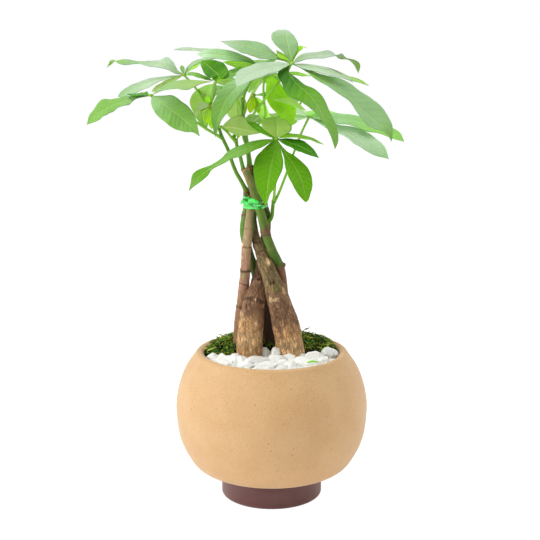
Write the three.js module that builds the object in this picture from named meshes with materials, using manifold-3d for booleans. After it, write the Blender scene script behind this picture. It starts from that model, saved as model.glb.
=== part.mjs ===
// A potted money tree: five braided canes with palmate leaves, in a round bowl on a low foot.
// Millimetres, +Z up. The origin is the centre of the foot's underside; -Y is the front.

import * as THREE from 'three';
import { mergeVertices } from 'three/addons/utils/BufferGeometryUtils.js';
import Module from 'manifold-3d';

const wasm = await Module();
wasm.setup();

// Driving dimensions
const POT_RADIUS = 95;
const POT_WIDEST_Z = 88;
const POT_WALL = 7;
const MOUTH_RADIUS = 67;
const LIP_Z = 148;
const FOOT_RADIUS = 50.2;
const FOOT_HEIGHT = 23.5;
const SOIL_Z = 136;
const SEAT_GAP = 0.3;
const LEAF_THICKNESS = 0.7;
const KNOB_RADIUS = 2.2;
const CANE_ROOT_DEPTH = 42;

// The place that the plant is seen from, for points that are given along a line of sight
const EYE = { x: -1.65, distance: 1100, height: 448.1, pitch: 0.197, focal: 1147, centre: 270 };

// Facets
const ROUND_SIDES = 28;
const CANE_SIDES = 10;
const CANE_STEPS = 12;
const STALK_SIDES = 5;
const LEAF_ROWS = { fewest: 3, most: 6, each: 13 };

// A point seen at a place in the picture, at a depth in mm towards the viewer from the pot's axis
function sight([across, down, depth]) {
  const right = (across - EYE.centre) / EYE.focal;
  const rise = (EYE.centre - down) / EYE.focal;
  const ahead = Math.cos(EYE.pitch) + rise * Math.sin(EYE.pitch);
  const up = rise * Math.cos(EYE.pitch) - Math.sin(EYE.pitch);
  const reach = (EYE.distance - depth) / ahead;
  return new THREE.Vector3(EYE.x + right * reach, -depth, EYE.height + up * reach);
}

// The same line of sight, stopped at a height instead of a depth
function sightAtHeight(across, down, z) {
  const near = sight([across, down, 0]);
  const eye = new THREE.Vector3(EYE.x, -EYE.distance, EYE.height);
  const share = (z - eye.z) / (near.z - eye.z);
  return eye.lerp(near, share);
}

// A repeatable random draw
function seeded(seed) {
  let state = seed;
  return () => {
    state = (state * 16807) % 2147483647;
    return state / 2147483647;
  };
}

// Solids and booleans

function solidOf(geometry) {
  const bare = geometry.clone();
  bare.deleteAttribute('normal');
  bare.deleteAttribute('uv');
  const merged = mergeVertices(bare, 1e-4);
  const mesh = new wasm.Mesh({
    numProp: 3,
    vertProperties: new Float32Array(merged.attributes.position.array),
    triVerts: new Uint32Array(merged.index.array),
  });
  return new wasm.Manifold(mesh);
}

function geometryOf(solid) {
  const mesh = solid.getMesh();
  const geometry = new THREE.BufferGeometry();
  geometry.setAttribute('position', new THREE.BufferAttribute(new Float32Array(mesh.vertProperties), 3));
  geometry.setIndex(new THREE.BufferAttribute(new Uint32Array(mesh.triVerts), 1));
  geometry.computeVertexNormals();
  return geometry;
}

function fused(solids) {
  return solids.reduce((whole, solid) => whole.add(solid));
}

// The main body of a cut solid, without the loose scraps that the cut leaves
function mainBody(solid) {
  return solid.decompose().reduce((main, body) => (body.volume() > main.volume() ? body : main));
}

// A profile of [radius, z] turned round the Z axis
function turned(profile) {
  const points = profile.map(([radius, z]) => new THREE.Vector2(radius, z));
  const geometry = new THREE.LatheGeometry(points, ROUND_SIDES);
  geometry.rotateX(Math.PI / 2);
  return geometry;
}

// A closed round bar whose middle line and radius are given; it is a cylinder bent along a curve
function bar(curve, radiusAt, sides, steps) {
  const geometry = new THREE.CylinderGeometry(1, 1, 1, sides, steps);
  const frames = curve.computeFrenetFrames(steps, false);
  const place = geometry.attributes.position;
  for (let i = 0; i < place.count; i += 1) {
    const share = place.getY(i) + 0.5;
    const step = Math.round(share * steps);
    const turn = Math.atan2(place.getZ(i), place.getX(i));
    const reach = Math.hypot(place.getX(i), place.getZ(i)) * radiusAt(share, turn);
    const point = curve.getPointAt(share);
    point.addScaledVector(frames.normals[step], Math.cos(turn) * reach);
    point.addScaledVector(frames.binormals[step], -Math.sin(turn) * reach);
    place.setXYZ(i, point.x, point.y, point.z);
  }
  return geometry;
}

// A thin closed sheet over a grid of points, split into triangles alike on both faces
function sheet(rows, columns, pointAt, thickness) {
  const grid = [];
  for (let i = 0; i <= rows; i += 1) {
    for (let j = 0; j <= columns; j += 1) {
      grid.push(pointAt(i, j));
    }
  }
  const at = (i, j) => i * (columns + 1) + j;
  const normalAt = (i, j) => {
    const along = grid[at(Math.min(i + 1, rows), j)].clone().sub(grid[at(Math.max(i - 1, 0), j)]);
    const across = grid[at(i, Math.min(j + 1, columns))].clone().sub(grid[at(i, Math.max(j - 1, 0))]);
    return along.cross(across).normalize();
  };
  const count = grid.length;
  const places = new Float32Array(count * 6);
  for (let i = 0; i <= rows; i += 1) {
    for (let j = 0; j <= columns; j += 1) {
      const normal = normalAt(i, j).multiplyScalar(thickness / 2);
      grid[at(i, j)].clone().add(normal).toArray(places, at(i, j) * 3);
      grid[at(i, j)].clone().sub(normal).toArray(places, (count + at(i, j)) * 3);
    }
  }
  const index = [];
  const quad = (a, b, c, d) => index.push(a, b, c, a, c, d);
  for (let i = 0; i < rows; i += 1) {
    for (let j = 0; j < columns; j += 1) {
      const corners = [at(i, j), at(i + 1, j), at(i + 1, j + 1), at(i, j + 1)];
      quad(...corners);
      const [a, b, c, d] = corners.map((corner) => corner + count);
      index.push(a, c, b, a, d, c);
    }
  }
  const wall = (from, to) => quad(to, from, from + count, to + count);
  for (let i = 0; i < rows; i += 1) {
    wall(at(i, 0), at(i + 1, 0));
    wall(at(i + 1, columns), at(i, columns));
  }
  for (let j = 0; j < columns; j += 1) {
    wall(at(0, j + 1), at(0, j));
    wall(at(rows, j), at(rows, j + 1));
  }
  const geometry = new THREE.BufferGeometry();
  geometry.setAttribute('position', new THREE.BufferAttribute(places, 3));
  geometry.setIndex(index);
  return geometry;
}

// Foot and pot

function footGeometry() {
  const edge = 2;
  const well = FOOT_RADIUS - 8;
  return turned([
    [0, 0],
    [FOOT_RADIUS - edge, 0],
    [FOOT_RADIUS - edge * 0.3, edge * 0.3],
    [FOOT_RADIUS, edge],
    [FOOT_RADIUS, FOOT_HEIGHT - 1],
    [FOOT_RADIUS - 1, FOOT_HEIGHT],
    [well, FOOT_HEIGHT],
    [well, FOOT_HEIGHT - 4],
    [0, FOOT_HEIGHT - 4],
  ]);
}

// The bowl's outer profile from the foot up to the lip
function bowlProfile(steps) {
  const bottom = FOOT_HEIGHT + SEAT_GAP;
  const outline = new THREE.SplineCurve([
    new THREE.Vector2(FOOT_RADIUS - 0.5, bottom),
    new THREE.Vector2(POT_RADIUS - 19.7, bottom + 9.3),
    new THREE.Vector2(POT_RADIUS - 9.6, POT_WIDEST_Z - 41),
    new THREE.Vector2(POT_RADIUS - 3.1, POT_WIDEST_Z - 25),
    new THREE.Vector2(POT_RADIUS, POT_WIDEST_Z),
    new THREE.Vector2(POT_RADIUS - 0.6, POT_WIDEST_Z + 13),
    new THREE.Vector2(POT_RADIUS - 4.1, POT_WIDEST_Z + 29),
    new THREE.Vector2(POT_RADIUS - 9.8, POT_WIDEST_Z + 43),
    new THREE.Vector2(POT_RADIUS - 16.5, LIP_Z - 7),
  ]);
  return outline.getSpacedPoints(steps).map((point) => [point.x, point.y]);
}

// The cavity's profile from the floor up to the mouth
function cavityProfile(inset, top) {
  const floor = FOOT_HEIGHT + POT_WALL + inset;
  const wall = POT_WALL + inset;
  return [
    [0, floor],
    [POT_RADIUS - 33 - inset, floor],
    [POT_RADIUS - 17 - wall, floor + 7],
    [POT_RADIUS - 7 - wall, POT_WIDEST_Z - 30],
    [POT_RADIUS - wall, POT_WIDEST_Z],
    [POT_RADIUS - 3 - wall, POT_WIDEST_Z + 26],
    [POT_RADIUS - 11 - wall, POT_WIDEST_Z + 46],
    [MOUTH_RADIUS + 4.5 - inset, top],
  ];
}

function potGeometry() {
  const spigot = FOOT_RADIUS - 8 - SEAT_GAP;
  const cavity = cavityProfile(0, LIP_Z - 7).reverse();
  return turned([
    [0, FOOT_HEIGHT - 4 + SEAT_GAP],
    [spigot, FOOT_HEIGHT - 4 + SEAT_GAP],
    [spigot, FOOT_HEIGHT + SEAT_GAP],
    ...bowlProfile(10),
    [MOUTH_RADIUS + 6, LIP_Z - 2.4],
    [MOUTH_RADIUS + 3, LIP_Z],
    [MOUTH_RADIUS + 0.8, LIP_Z - 0.6],
    [MOUTH_RADIUS, LIP_Z - 2.4],
    ...cavity,
  ]);
}

// Canes: places are [across, down, depth], and thick is the diameter in mm at each of them

const CANES = {
  cane_front_left: {
    colour: 0x8a6242,
    route: [
      [249.5, 357, 10], [250.5, 330, 9], [254.6, 300, 5], [258.6, 285, 0], [261.8, 266, -8],
      [263.2, 250, -10], [265.4, 235, -8], [266.2, 218, -5], [262.8, 204, -2.8], [257.6, 186, -2.4], [250.6, 166.5, 0],
    ],
    thick: [26, 25, 21, 16.4, 12, 10.2, 9.6, 9.2, 8.8, 8.2, 7.8],
  },
  cane_front_right: {
    colour: 0x96693f,
    route: [
      [291, 357, 10], [287, 330, 10], [278.4, 300, 10], [268, 270, 10], [258.6, 247, 3.5],
      [255.8, 234, -4], [254.6, 218, -10.5], [254.6, 204, -12], [255, 192, -14],
    ],
    thick: [28, 27, 22, 15.6, 9.6, 8.8, 8.6, 8.6, 8],
  },
  cane_green: {
    colour: 0x5d7436,
    route: [
      [290, 357, -16], [288, 325, -14], [284, 298, -9], [280, 268, 1.6], [271.8, 250, 11],
      [266, 234, 12.5], [261.4, 215, 10.5], [257.8, 203, 9], [252, 186, 9], [244.8, 168.2, 9],
    ],
    thick: [11, 10.5, 9.6, 9.2, 9, 8.8, 8.6, 8.6, 7.8, 7.4],
  },
  cane_pale: {
    colour: 0xa98458,
    route: [
      [239, 357, -12], [240, 325, -9], [242.4, 298, -6], [245.4, 270, 3], [248, 245, 6],
      [249.8, 222, 5.5], [251, 204, 2.6], [250.8, 195.5, 2],
    ],
    thick: [13, 12, 10.6, 9.8, 9.4, 8.8, 8.2, 7],
  },
  cane_back: {
    colour: 0x6d7a3c,
    route: [
      [270, 357, -15], [268, 325, -15], [263, 298, -17], [255.4, 272, -17], [248.6, 252, -11],
      [244.2, 232, -6], [245.6, 217, -5.5], [248, 204, -5.8], [246.8, 188, -5.4],
    ],
    thick: [15, 14, 11, 9.2, 8.8, 8.6, 8.4, 8.4, 7.6],
  },
};

// A cane's middle line, from its rooted end in the soil to its cut top
function caneLine(cane) {
  const points = cane.route.map(sight);
  const foot = points[0].clone();
  const root = foot.clone().sub(points[1]).normalize();
  root.multiplyScalar(CANE_ROOT_DEPTH).add(foot);
  return new THREE.CatmullRomCurve3([root, ...points], false, 'centripetal');
}

function canePart(cane, grown) {
  const line = caneLine(cane);
  const diameters = [cane.thick[0] * 0.6, ...cane.thick];
  const lengths = line.getLengths(200);
  const shares = diameters.map((_, i) => {
    const step = Math.round((i / (diameters.length - 1)) * 200);
    return lengths[step] / lengths[200];
  });
  const radiusAt = (share) => {
    let k = 0;
    while (k < shares.length - 2 && share > shares[k + 1]) {
      k += 1;
    }
    const between = (share - shares[k]) / (shares[k + 1] - shares[k]);
    const eased = THREE.MathUtils.smoothstep(between, 0, 1);
    return THREE.MathUtils.lerp(diameters[k], diameters[k + 1], eased) / 2 + grown;
  };
  return solidOf(bar(line, radiusAt, CANE_SIDES, CANE_STEPS));
}

// The soil fills the cavity up to its level, with a plain hole round each cane
function soilSolid(caneRoom) {
  const filled = cavityProfile(SEAT_GAP, SOIL_Z);
  const full = solidOf(turned([...filled, [0, SOIL_Z]]));
  return full.subtract(caneRoom);
}

// Pebbles: a shallow bed with domed stones sunk in it, larger ones where they are seen

const STONES = {
  left_end: { at: [216, 359.5], size: [15, 12, 9] },
  left_second: { at: [228, 360], size: [15, 13, 10] },
  left_third: { at: [238.5, 361], size: [14, 15, 10] },
  left_low: { at: [225, 364], size: [13, 10, 8] },
  peaked: { at: [249, 357.6], size: [12, 12, 11], lift: 1 },
  grey_behind: { at: [265, 354], size: [13, 10, 12], lift: 1.5 },
  big_flat: { at: [259, 360.6], size: [27, 17, 9], turn: 0.3 },
  low_flat: { at: [248, 365.4], size: [17, 11, 8] },
  upright: { at: [276.4, 352.8], size: [11, 10, 13], lift: 3 },
  wide_middle: { at: [281, 357.6], size: [21, 13, 9], lift: 1 },
  beside_middle: { at: [292, 358.4], size: [11, 13, 10] },
  small_grey: { at: [301, 357], size: [12, 10, 9] },
  front_middle: { at: [281.5, 364.4], size: [15, 11, 8] },
  front_flat: { at: [266, 365.6], size: [18, 12, 8] },
  front_small: { at: [292, 364.6], size: [9, 9, 8] },
  right_low: { at: [301, 361.6], size: [14, 11, 8] },
  right_tall: { at: [314.5, 358.5], size: [19, 14, 12], lift: 1 },
  right_grey: { at: [328, 355], size: [13, 12, 12], lift: 1 },
};
const STONE_BED_Z = 141.5;
const STONE_CENTRE_Z = 144;
const PEBBLE_LINE = { depth: 4, slant: 0.1 };

function stoneSolid(centre, [long, deep, tall], turn, draw) {
  const geometry = new THREE.IcosahedronGeometry(0.5, 1);
  const lump = geometry.attributes.position;
  const push = [draw() * 6, draw() * 6, draw() * 6];
  for (let i = 0; i < lump.count; i += 1) {
    const [x, y, z] = [lump.getX(i), lump.getY(i), lump.getZ(i)];
    const swell = 1 + 0.09 * Math.sin(5 * x + push[0]) + 0.08 * Math.sin(5 * y + push[1] + 4 * z);
    lump.setXYZ(i, x * swell * long, y * swell * deep, z * swell * tall);
  }
  geometry.rotateZ(turn);
  geometry.translate(centre.x, centre.y, centre.z);
  return solidOf(geometry);
}

// A slab of the soil's surface, in front of or behind the line where pebbles and moss meet
function halfDisc(bottom, top, front) {
  const radius = MOUTH_RADIUS - 0.6;
  const disc = solidOf(turned([[0, bottom], [radius, bottom], [radius, top], [0, top]]));
  const block = new THREE.BoxGeometry(4 * radius, 2 * radius, 100);
  const shift = front ? -radius - PEBBLE_LINE.depth : radius - PEBBLE_LINE.depth + SEAT_GAP;
  block.translate(0, shift, (bottom + top) / 2);
  block.rotateZ(PEBBLE_LINE.slant);
  return disc.intersect(solidOf(block));
}

function pebblesSolid(caneRoom) {
  const draw = seeded(41);
  const stones = Object.values(STONES).map(({ at, size, lift = 0, turn = 0 }) => {
    const centre = sightAtHeight(at[0], at[1], STONE_CENTRE_Z + lift);
    return stoneSolid(centre, size, turn + (draw() - 0.5) * 0.4, draw);
  });
  const bed = halfDisc(SOIL_Z + SEAT_GAP, STONE_BED_Z, true);
  const pile = fused([bed, ...stones]);
  const room = halfDisc(SOIL_Z + SEAT_GAP, LIP_Z + 12, true);
  return mainBody(pile.intersect(room).subtract(caneRoom));
}

// Moss: a cushion with hummocks and short tufts over the left, the back and the right

function mossHeight(x, y) {
  const dome = 1 - (Math.hypot(x, y) / MOUTH_RADIUS) ** 2.4;
  const climb = THREE.MathUtils.smoothstep(y, -PEBBLE_LINE.depth - 6, 14);
  const hummocks = 2.2 * Math.sin(x * 0.31 + 1.2) * Math.cos(y * 0.27) + 1.5 * Math.sin(x * 0.63 - y * 0.5);
  const rise = Math.min(1, 3 * dome) * (13 * climb + hummocks);
  return SOIL_Z + Math.max(5, 6.5 + rise);
}

function mossSolid(caneRoom) {
  const rings = 7;
  const spokes = 24;
  const radius = MOUTH_RADIUS - 0.6;
  const bottom = SOIL_Z + SEAT_GAP;
  const places = [new THREE.Vector3(0, 0, bottom), new THREE.Vector3(0, 0, mossHeight(0, 0))];
  const index = [];
  const ringAt = (ring, spoke) => 2 + (ring - 1) * spokes + (spoke % spokes);
  for (let ring = 1; ring <= rings; ring += 1) {
    for (let spoke = 0; spoke < spokes; spoke += 1) {
      const angle = (2 * Math.PI * (spoke + 0.5 * (ring % 2))) / spokes;
      const reach = radius * Math.min(1, ring / (rings - 1));
      const x = reach * Math.cos(angle);
      const y = reach * Math.sin(angle);
      const low = ring === rings;
      places.push(new THREE.Vector3(x, y, low ? bottom : mossHeight(x, y)));
    }
  }
  for (let spoke = 0; spoke < spokes; spoke += 1) {
    index.push(1, ringAt(1, spoke), ringAt(1, spoke + 1));
    index.push(0, ringAt(rings, spoke + 1), ringAt(rings, spoke));
    for (let ring = 1; ring < rings; ring += 1) {
      const [a, b] = [ringAt(ring, spoke), ringAt(ring, spoke + 1)];
      const [c, d] = [ringAt(ring + 1, spoke), ringAt(ring + 1, spoke + 1)];
      index.push(...(ring % 2 ? [a, c, b, b, c, d] : [a, c, d, a, d, b]));
    }
  }
  const geometry = new THREE.BufferGeometry().setFromPoints(places);
  geometry.setIndex(index);
  const behind = halfDisc(bottom, LIP_Z + 20, false);
  const cushion = fused([solidOf(geometry), ...mossTufts()]);
  return mainBody(cushion.intersect(behind).subtract(caneRoom));
}

function mossTufts() {
  const draw = seeded(73);
  const tufts = [];
  const reach = 4;
  for (let i = -reach; i <= reach; i += 1) {
    for (let j = 0; j < 4; j += 1) {
      const x = i * 13.5 + 8 * (draw() - 0.5);
      const y = j * 15 - 6 + 8 * (draw() - 0.5);
      const lift = 0.8 + 1.6 * draw();
      const lean = [6 * (draw() - 0.5), 6 * (draw() - 0.5)];
      if (Math.hypot(x, y) < MOUTH_RADIUS - 6) {
        const top = mossHeight(x, y);
        const tuft = new THREE.ConeGeometry(3.6, 5 + lift, 4, 1);
        tuft.rotateX(Math.PI / 2);
        tuft.rotateY(lean[0] / 12);
        tuft.rotateX(lean[1] / 12);
        tuft.translate(x, y, top + (lift - 3) / 2);
        tufts.push(solidOf(tuft));
      }
    }
  }
  return tufts;
}

// The tie: three turns of plastic ribbon round the bundle of canes

const TIE_TURNS = [
  { down: 199.4, tilt: 0.14, tall: 3.2 },
  { down: 202.6, tilt: 0.22, tall: 3.4 },
  { down: 205.6, tilt: 0.06, tall: 3 },
];

// The line that a tight band takes round circles, as the hull of their points
function bandLine(circles, slack) {
  const points = [];
  circles.forEach(({ x, y, radius }) => {
    for (let k = 0; k < 6; k += 1) {
      const angle = (2 * Math.PI * k) / 6;
      points.push([x + (radius + slack) * Math.cos(angle), y + (radius + slack) * Math.sin(angle)]);
    }
  });
  points.sort((a, b) => a[0] - b[0] || a[1] - b[1]);
  const half = (run) => {
    const kept = [];
    run.forEach((p) => {
      while (kept.length > 1) {
        const [a, b] = kept.slice(-2);
        if ((b[0] - a[0]) * (p[1] - a[1]) - (b[1] - a[1]) * (p[0] - a[0]) > 0) {
          break;
        }
        kept.pop();
      }
      kept.push(p);
    });
    return kept.slice(0, -1);
  };
  const hull = [...half(points), ...half([...points].reverse())];
  return hull.map(([x, y]) => new THREE.Vector2(x, y));
}

function tieSolid(caneRoom) {
  const turns = TIE_TURNS.map(({ down, tilt, tall }) => {
    const level = sight([256, down, 0]).z;
    const circles = Object.values(CANES).map((cane) => {
      const line = caneLine(cane);
      const spots = line.getSpacedPoints(240);
      const near = spots.reduce((a, b) => (Math.abs(b.z - level) < Math.abs(a.z - level) ? b : a));
      return { x: near.x, y: near.y, radius: 4.3 };
    });
    const outer = new THREE.Shape(bandLine(circles, 1.8));
    outer.holes.push(new THREE.Path(bandLine(circles, 0.8)));
    const band = new THREE.ExtrudeGeometry(outer, { depth: tall, bevelEnabled: false, curveSegments: 1 });
    const centre = circles.reduce((sum, c) => [sum[0] + c.x / 5, sum[1] + c.y / 5], [0, 0]);
    band.translate(-centre[0], -centre[1], -tall / 2);
    band.rotateY(tilt);
    band.translate(centre[0], centre[1], level);
    return solidOf(band);
  });
  return fused(turns).subtract(caneRoom);
}

// Leaves. Places are [across, down, depth]. A leaflet's rib runs from its frond's hub through the
// given places to its tip. Its upper face looks up, leaning by lean degrees towards the viewer (twist
// degrees at its tip, where given), and turn degrees to the right. Wide is its full width in mm.

const SHOOTS = {
  shoot_left: {
    colour: 0x6fae4a,
    stem: [
      [247, 192, -4], [240.6, 180, 1], [236, 172, 4], [232, 162, 6], [228, 150, 8], [222, 137, 10],
      [219, 128, 10], [214, 116, 11], [209, 106, 12],
    ],
    thick: [4.2, 2.6],
    fronds: [
      {
        petiole: [[222, 138, 10], [205, 128, 20], [196, 122, 24], [172, 106, 30]],
        hub: [150.5, 95.3, 38],
        leaflets: {
          long_left: { rib: [[122, 102.5, 40], [105, 111, 42], [87, 124.5, 46]], wide: 24, lean: 20, turn: -20 },
          low_right: { rib: [[166, 107, 46], [179, 116.5, 50], [200, 136.5, 56]], wide: 28, lean: 62, turn: 5 },
          flat_right: { rib: [[170, 89, 40], [190, 84, 42], [211, 82, 44]], wide: 22, lean: 10, turn: 0 },
          back_left: { rib: [[140, 93, 28], [128, 92, 10]], wide: 20, lean: 10, turn: 0 },
        },
      },
      {
        petiole: [[209, 106, 12], [204, 101, 11], [200, 95, 9], [193.5, 85.5, 6]],
        hub: [184, 75, 4],
        leaflets: {
          far_left: {
            rib: [[167, 64, 0], [148, 65.5, -5], [125, 63, -9], [107, 67.5, -12]],
            wide: 20, lean: 48, twist: -8, turn: 0,
          },
          low_left: { rib: [[160, 80, 5], [140, 86, 6], [118, 97, 8]], wide: 21, lean: 20, turn: 0 },
          under_left: { rib: [[165, 84, 14], [146, 92, 21]], wide: 16, lean: -25, turn: 0 },
          over_right: { rib: [[190, 63.5, 0], [200, 58.5, -3], [217, 64, -6]], wide: 12, lean: 15, turn: 0 },
          back: { rib: [[190, 70, -6], [199, 64, -24]], wide: 16, lean: 5, turn: 0 },
          dark_right: { rib: [[195, 73, 8], [214, 83, 13]], wide: 12, lean: 15, turn: 0 },
        },
      },
      {
        petiole: [[209, 106, 12], [211, 95, 14]],
        hub: [215, 83, 16],
        leaflets: {
          dark_up: { rib: [[218, 74, 13], [203, 61, 6]], wide: 21, lean: 50, turn: 0 },
          narrow_right: { rib: [[227, 76, 11], [246, 65.5, -4]], wide: 14, lean: 12, turn: 0 },
          under: { rib: [[221, 82, 19], [226, 84, 20]], wide: 13, lean: -20, turn: 0 },
          hanging: { rib: [[209, 92, 10], [205, 104, 4], [205.5, 131, 0]], wide: 26, lean: 62, turn: 0 },
        },
      },
      {
        petiole: [[214, 116, 11]],
        hub: [209, 106, 13],
        leaflets: {
          young_front: { rib: [[201, 109, 22], [192, 117, 32]], wide: 14, lean: -40, turn: 0 },
          finger_left: { rib: [[204, 111, 16], [199.5, 114, 18]], wide: 5, lean: 40, turn: 0 },
          finger_low: { rib: [[210.5, 116, 15], [212, 129, 18]], wide: 6, lean: 50, turn: 0 },
          finger_up: { rib: [[208, 101, 13], [207.5, 96, 12]], wide: 5, lean: 30, turn: 0 },
        },
      },
    ],
  },
  shoot_middle: {
    colour: 0x7fa955,
    stem: [[243.6, 170, 9], [240, 156, 12], [237, 146, 13], [236, 139, 14]],
    thick: [4, 3],
    fronds: [
      {
        petiole: [[236, 142, 14], [232, 138, 16], [227, 132, 19]],
        hub: [221, 128.6, 21],
        leaflets: {
          underside: { rib: [[238, 126.5, 22], [257, 133, 20]], wide: 20, lean: -62, turn: 0 },
        },
      },
      {
        petiole: [[237, 146, 13]],
        hub: [236, 140, 14],
        leaflets: {
          bud_right: { rib: [[238, 137, 15], [239.5, 133, 16]], wide: 4, lean: 30, turn: 0 },
          bud_left: { rib: [[234.6, 137, 13], [234, 134, 12]], wide: 4, lean: 30, turn: 0 },
        },
      },
    ],
  },
  shoot_top: {
    colour: 0x79bb55,
    stem: [[249.6, 168, 0], [248, 152, 0], [246, 143, 0], [244, 137, 1], [243, 117, 3], [243, 98, 4]],
    thick: [4.4, 2.6],
    fronds: [
      {
        petiole: [[243, 102, 4], [245, 93, 5], [251, 80, 6]],
        hub: [258, 65, 8],
        leaflets: {
          pale_left: { rib: [[240, 56.5, 4], [218, 54, 2], [197, 54.5, 0]], wide: 22, lean: 26, turn: 0 },
          thin_left: { rib: [[235, 53, -10], [205, 48.5, -18], [174, 49.5, -24]], wide: 14, lean: 4, turn: 0 },
          under_left: { rib: [[245, 65, 14], [228, 66.5, 20]], wide: 16, lean: -30, turn: 0 },
          hanging: {
            rib: [[251, 70, 16], [239, 87, 30], [225, 107, 37], [215.5, 137, 40]],
            wide: 27, lean: 55, turn: -15,
          },
          back: { rib: [[262, 61, -12], [268, 63, -34]], wide: 24, lean: -10, turn: 0 },
          back_left: { rib: [[246, 62, -12], [236, 66, -34]], wide: 24, lean: -10, turn: 0 },
        },
      },
      {
        petiole: [[243, 128, 2], [249, 121, 4], [255, 112, 8], [265, 99, 10], [272, 90, 14], [287, 72, 22]],
        hub: [291.5, 63.5, 26],
        leaflets: {
          broad_left: { rib: [[275, 67, 34], [254, 72, 44], [235.5, 88, 54]], wide: 28, lean: 24, turn: -10 },
          up_left: { rib: [[276, 59, 16], [252, 50, 6], [220.5, 42.5, -4]], wide: 24, lean: 36, turn: 0 },
          upright: {
            rib: [[289, 53, 18], [286, 41, 8], [285, 31, -10], [290, 31, -20]],
            wide: 27, lean: 62, turn: 0,
          },
          behind_right: { rib: [[298, 55, 14], [306, 48, 2]], wide: 12, lean: 20, turn: 0 },
          high_right: { rib: [[320, 56, 22], [341, 57, 20], [358, 73, 18]], wide: 20, lean: 10, turn: 0 },
          pale_right: { rib: [[312, 66.5, 30], [333, 70, 34], [353, 82, 38]], wide: 14, lean: 6, turn: 0 },
          far_right: { rib: [[330, 67.5, 14], [350, 74.5, 10], [368.5, 85.5, 6]], wide: 14, lean: 8, turn: 0 },
          dark_low: { rib: [[300, 86, 40], [316, 105, 52], [335, 149, 62]], wide: 29, lean: 45, turn: 25 },
          long_right: {
            rib: [[327, 78.5, 34], [353, 95, 40], [375, 113, 44], [391.5, 141.5, 48]],
            wide: 27, lean: 36, turn: 20,
          },
        },
      },
      {
        petiole: [[244, 134, 1], [256, 126, -4], [265.5, 117, -5], [264, 100, 2], [263.5, 86, 9]],
        hub: [265, 77, 13],
        leaflets: {
          bright_right: { rib: [[276, 83, 21], [284, 98, 24], [291, 127, 20.5]], wide: 20, lean: 35, turn: 20 },
          under_left: { rib: [[258, 82, 18], [249, 91, 24]], wide: 18, lean: -30, turn: 0 },
          back_low: { rib: [[256, 90, -2], [245, 110, -16]], wide: 18, lean: 30, turn: 0 },
          back_up: { rib: [[267, 71, 0], [268, 69, -20]], wide: 18, lean: 5, turn: 0 },
        },
      },
      {
        petiole: [[243.4, 114, 3], [250, 99, 11]],
        hub: [254, 95, 17],
        leaflets: {
          right: { rib: [[275, 99, 20], [301, 110, 22]], wide: 16, lean: 28, turn: 0 },
          folded_left: { rib: [[252, 103, 20], [250, 113, 22]], wide: 8, lean: 40, turn: 0 },
          folded_right: { rib: [[256, 104, 20], [259, 113, 22]], wide: 7, lean: 40, turn: 0 },
          pale_low: { rib: [[260, 108, 12], [270, 121, 6]], wide: 17, lean: 40, turn: 10 },
        },
      },
    ],
  },
  shoot_front: {
    colour: 0x6cab42,
    stem: [[268, 223, -3], [271.6, 217, 0], [272.5, 210, 3], [273.5, 201, 6]],
    thick: [4.2, 3.2],
    fronds: [
      {
        petiole: [[273.5, 203, 5], [275, 186, 14], [275.5, 165, 26]],
        hub: [276.5, 139, 42],
        leaflets: {
          hanging: { rib: [[272, 158, 50], [269, 174, 55], [265, 207.5, 60]], wide: 31, lean: 78, turn: -5 },
          low_right: { rib: [[288, 153, 50], [298, 173, 57], [305.5, 202.5, 62]], wide: 26, lean: 55, turn: 15 },
          right: { rib: [[292, 145, 50], [305, 149.5, 55], [318.8, 157.8, 60]], wide: 20, lean: 28, turn: 0 },
          thin_right: { rib: [[290, 135, 44], [305, 138, 42], [323.5, 144.5, 40]], wide: 14, lean: 4, turn: 0 },
          upright: { rib: [[276.5, 129, 37], [276, 116.5, 24]], wide: 29, lean: 60, turn: 0 },
          dark_left: { rib: [[262, 130, 38], [247, 122, 28]], wide: 10, lean: 10, turn: 0 },
          long_left: {
            rib: [[250, 146.5, 52], [230, 157, 60], [212, 169.5, 66], [189, 191, 72]],
            wide: 22, lean: 24, turn: -20,
          },
        },
      },
      {
        petiole: [[273.5, 203, 5], [278, 195, 6], [287, 172, 4], [293, 155, 3], [301, 134, 3]],
        hub: [309, 117, 4],
        leaflets: {
          up_left: { rib: [[299, 110, 6], [288, 105.5, 9]], wide: 12, lean: -15, turn: 0 },
          low_left: { rib: [[297, 116, 8], [283, 116.5, 13]], wide: 12, lean: -15, turn: 0 },
          far_right: { rib: [[340, 114, 2], [372, 125, 5], [404, 141.5, 8]], wide: 24, lean: 18, turn: 0 },
          low_right: { rib: [[330, 124, 12], [355, 134, 18], [388.7, 159, 24]], wide: 23, lean: 28, turn: 10 },
          back: { rib: [[306, 112, -14], [304, 112, -36]], wide: 24, lean: -20, turn: 0 },
          back_right: { rib: [[322, 114, -12], [338, 119, -30]], wide: 24, lean: -20, turn: -20 },
        },
      },
    ],
  },
  shoot_back_left: {
    colour: 0x72b14b,
    stem: [[255, 196, -12], [251, 168, -20], [246, 135, -28], [243, 114, -34]],
    thick: [4.2, 3],
    fronds: [
      {
        petiole: [[243, 116, -33], [239, 104, -38]],
        hub: [234, 92, -42],
        leaflets: {
          left: { rib: [[220, 90, -50], [204, 100, -58]], wide: 24, lean: -15, turn: 30 },
          back_left: { rib: [[222, 86, -68], [212, 97, -98]], wide: 26, lean: -30, turn: 30 },
          back: { rib: [[236, 84, -78], [238, 98, -116]], wide: 27, lean: -35, turn: 0 },
          low: { rib: [[236, 102, -54], [236, 122, -62]], wide: 22, lean: -60, turn: 0 },
          up: { rib: [[228, 80, -48], [216, 76, -60]], wide: 20, lean: 0, turn: 0 },
        },
      },
      {
        petiole: [[243, 112, -35], [252, 96, -42]],
        hub: [261, 80, -48],
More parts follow.
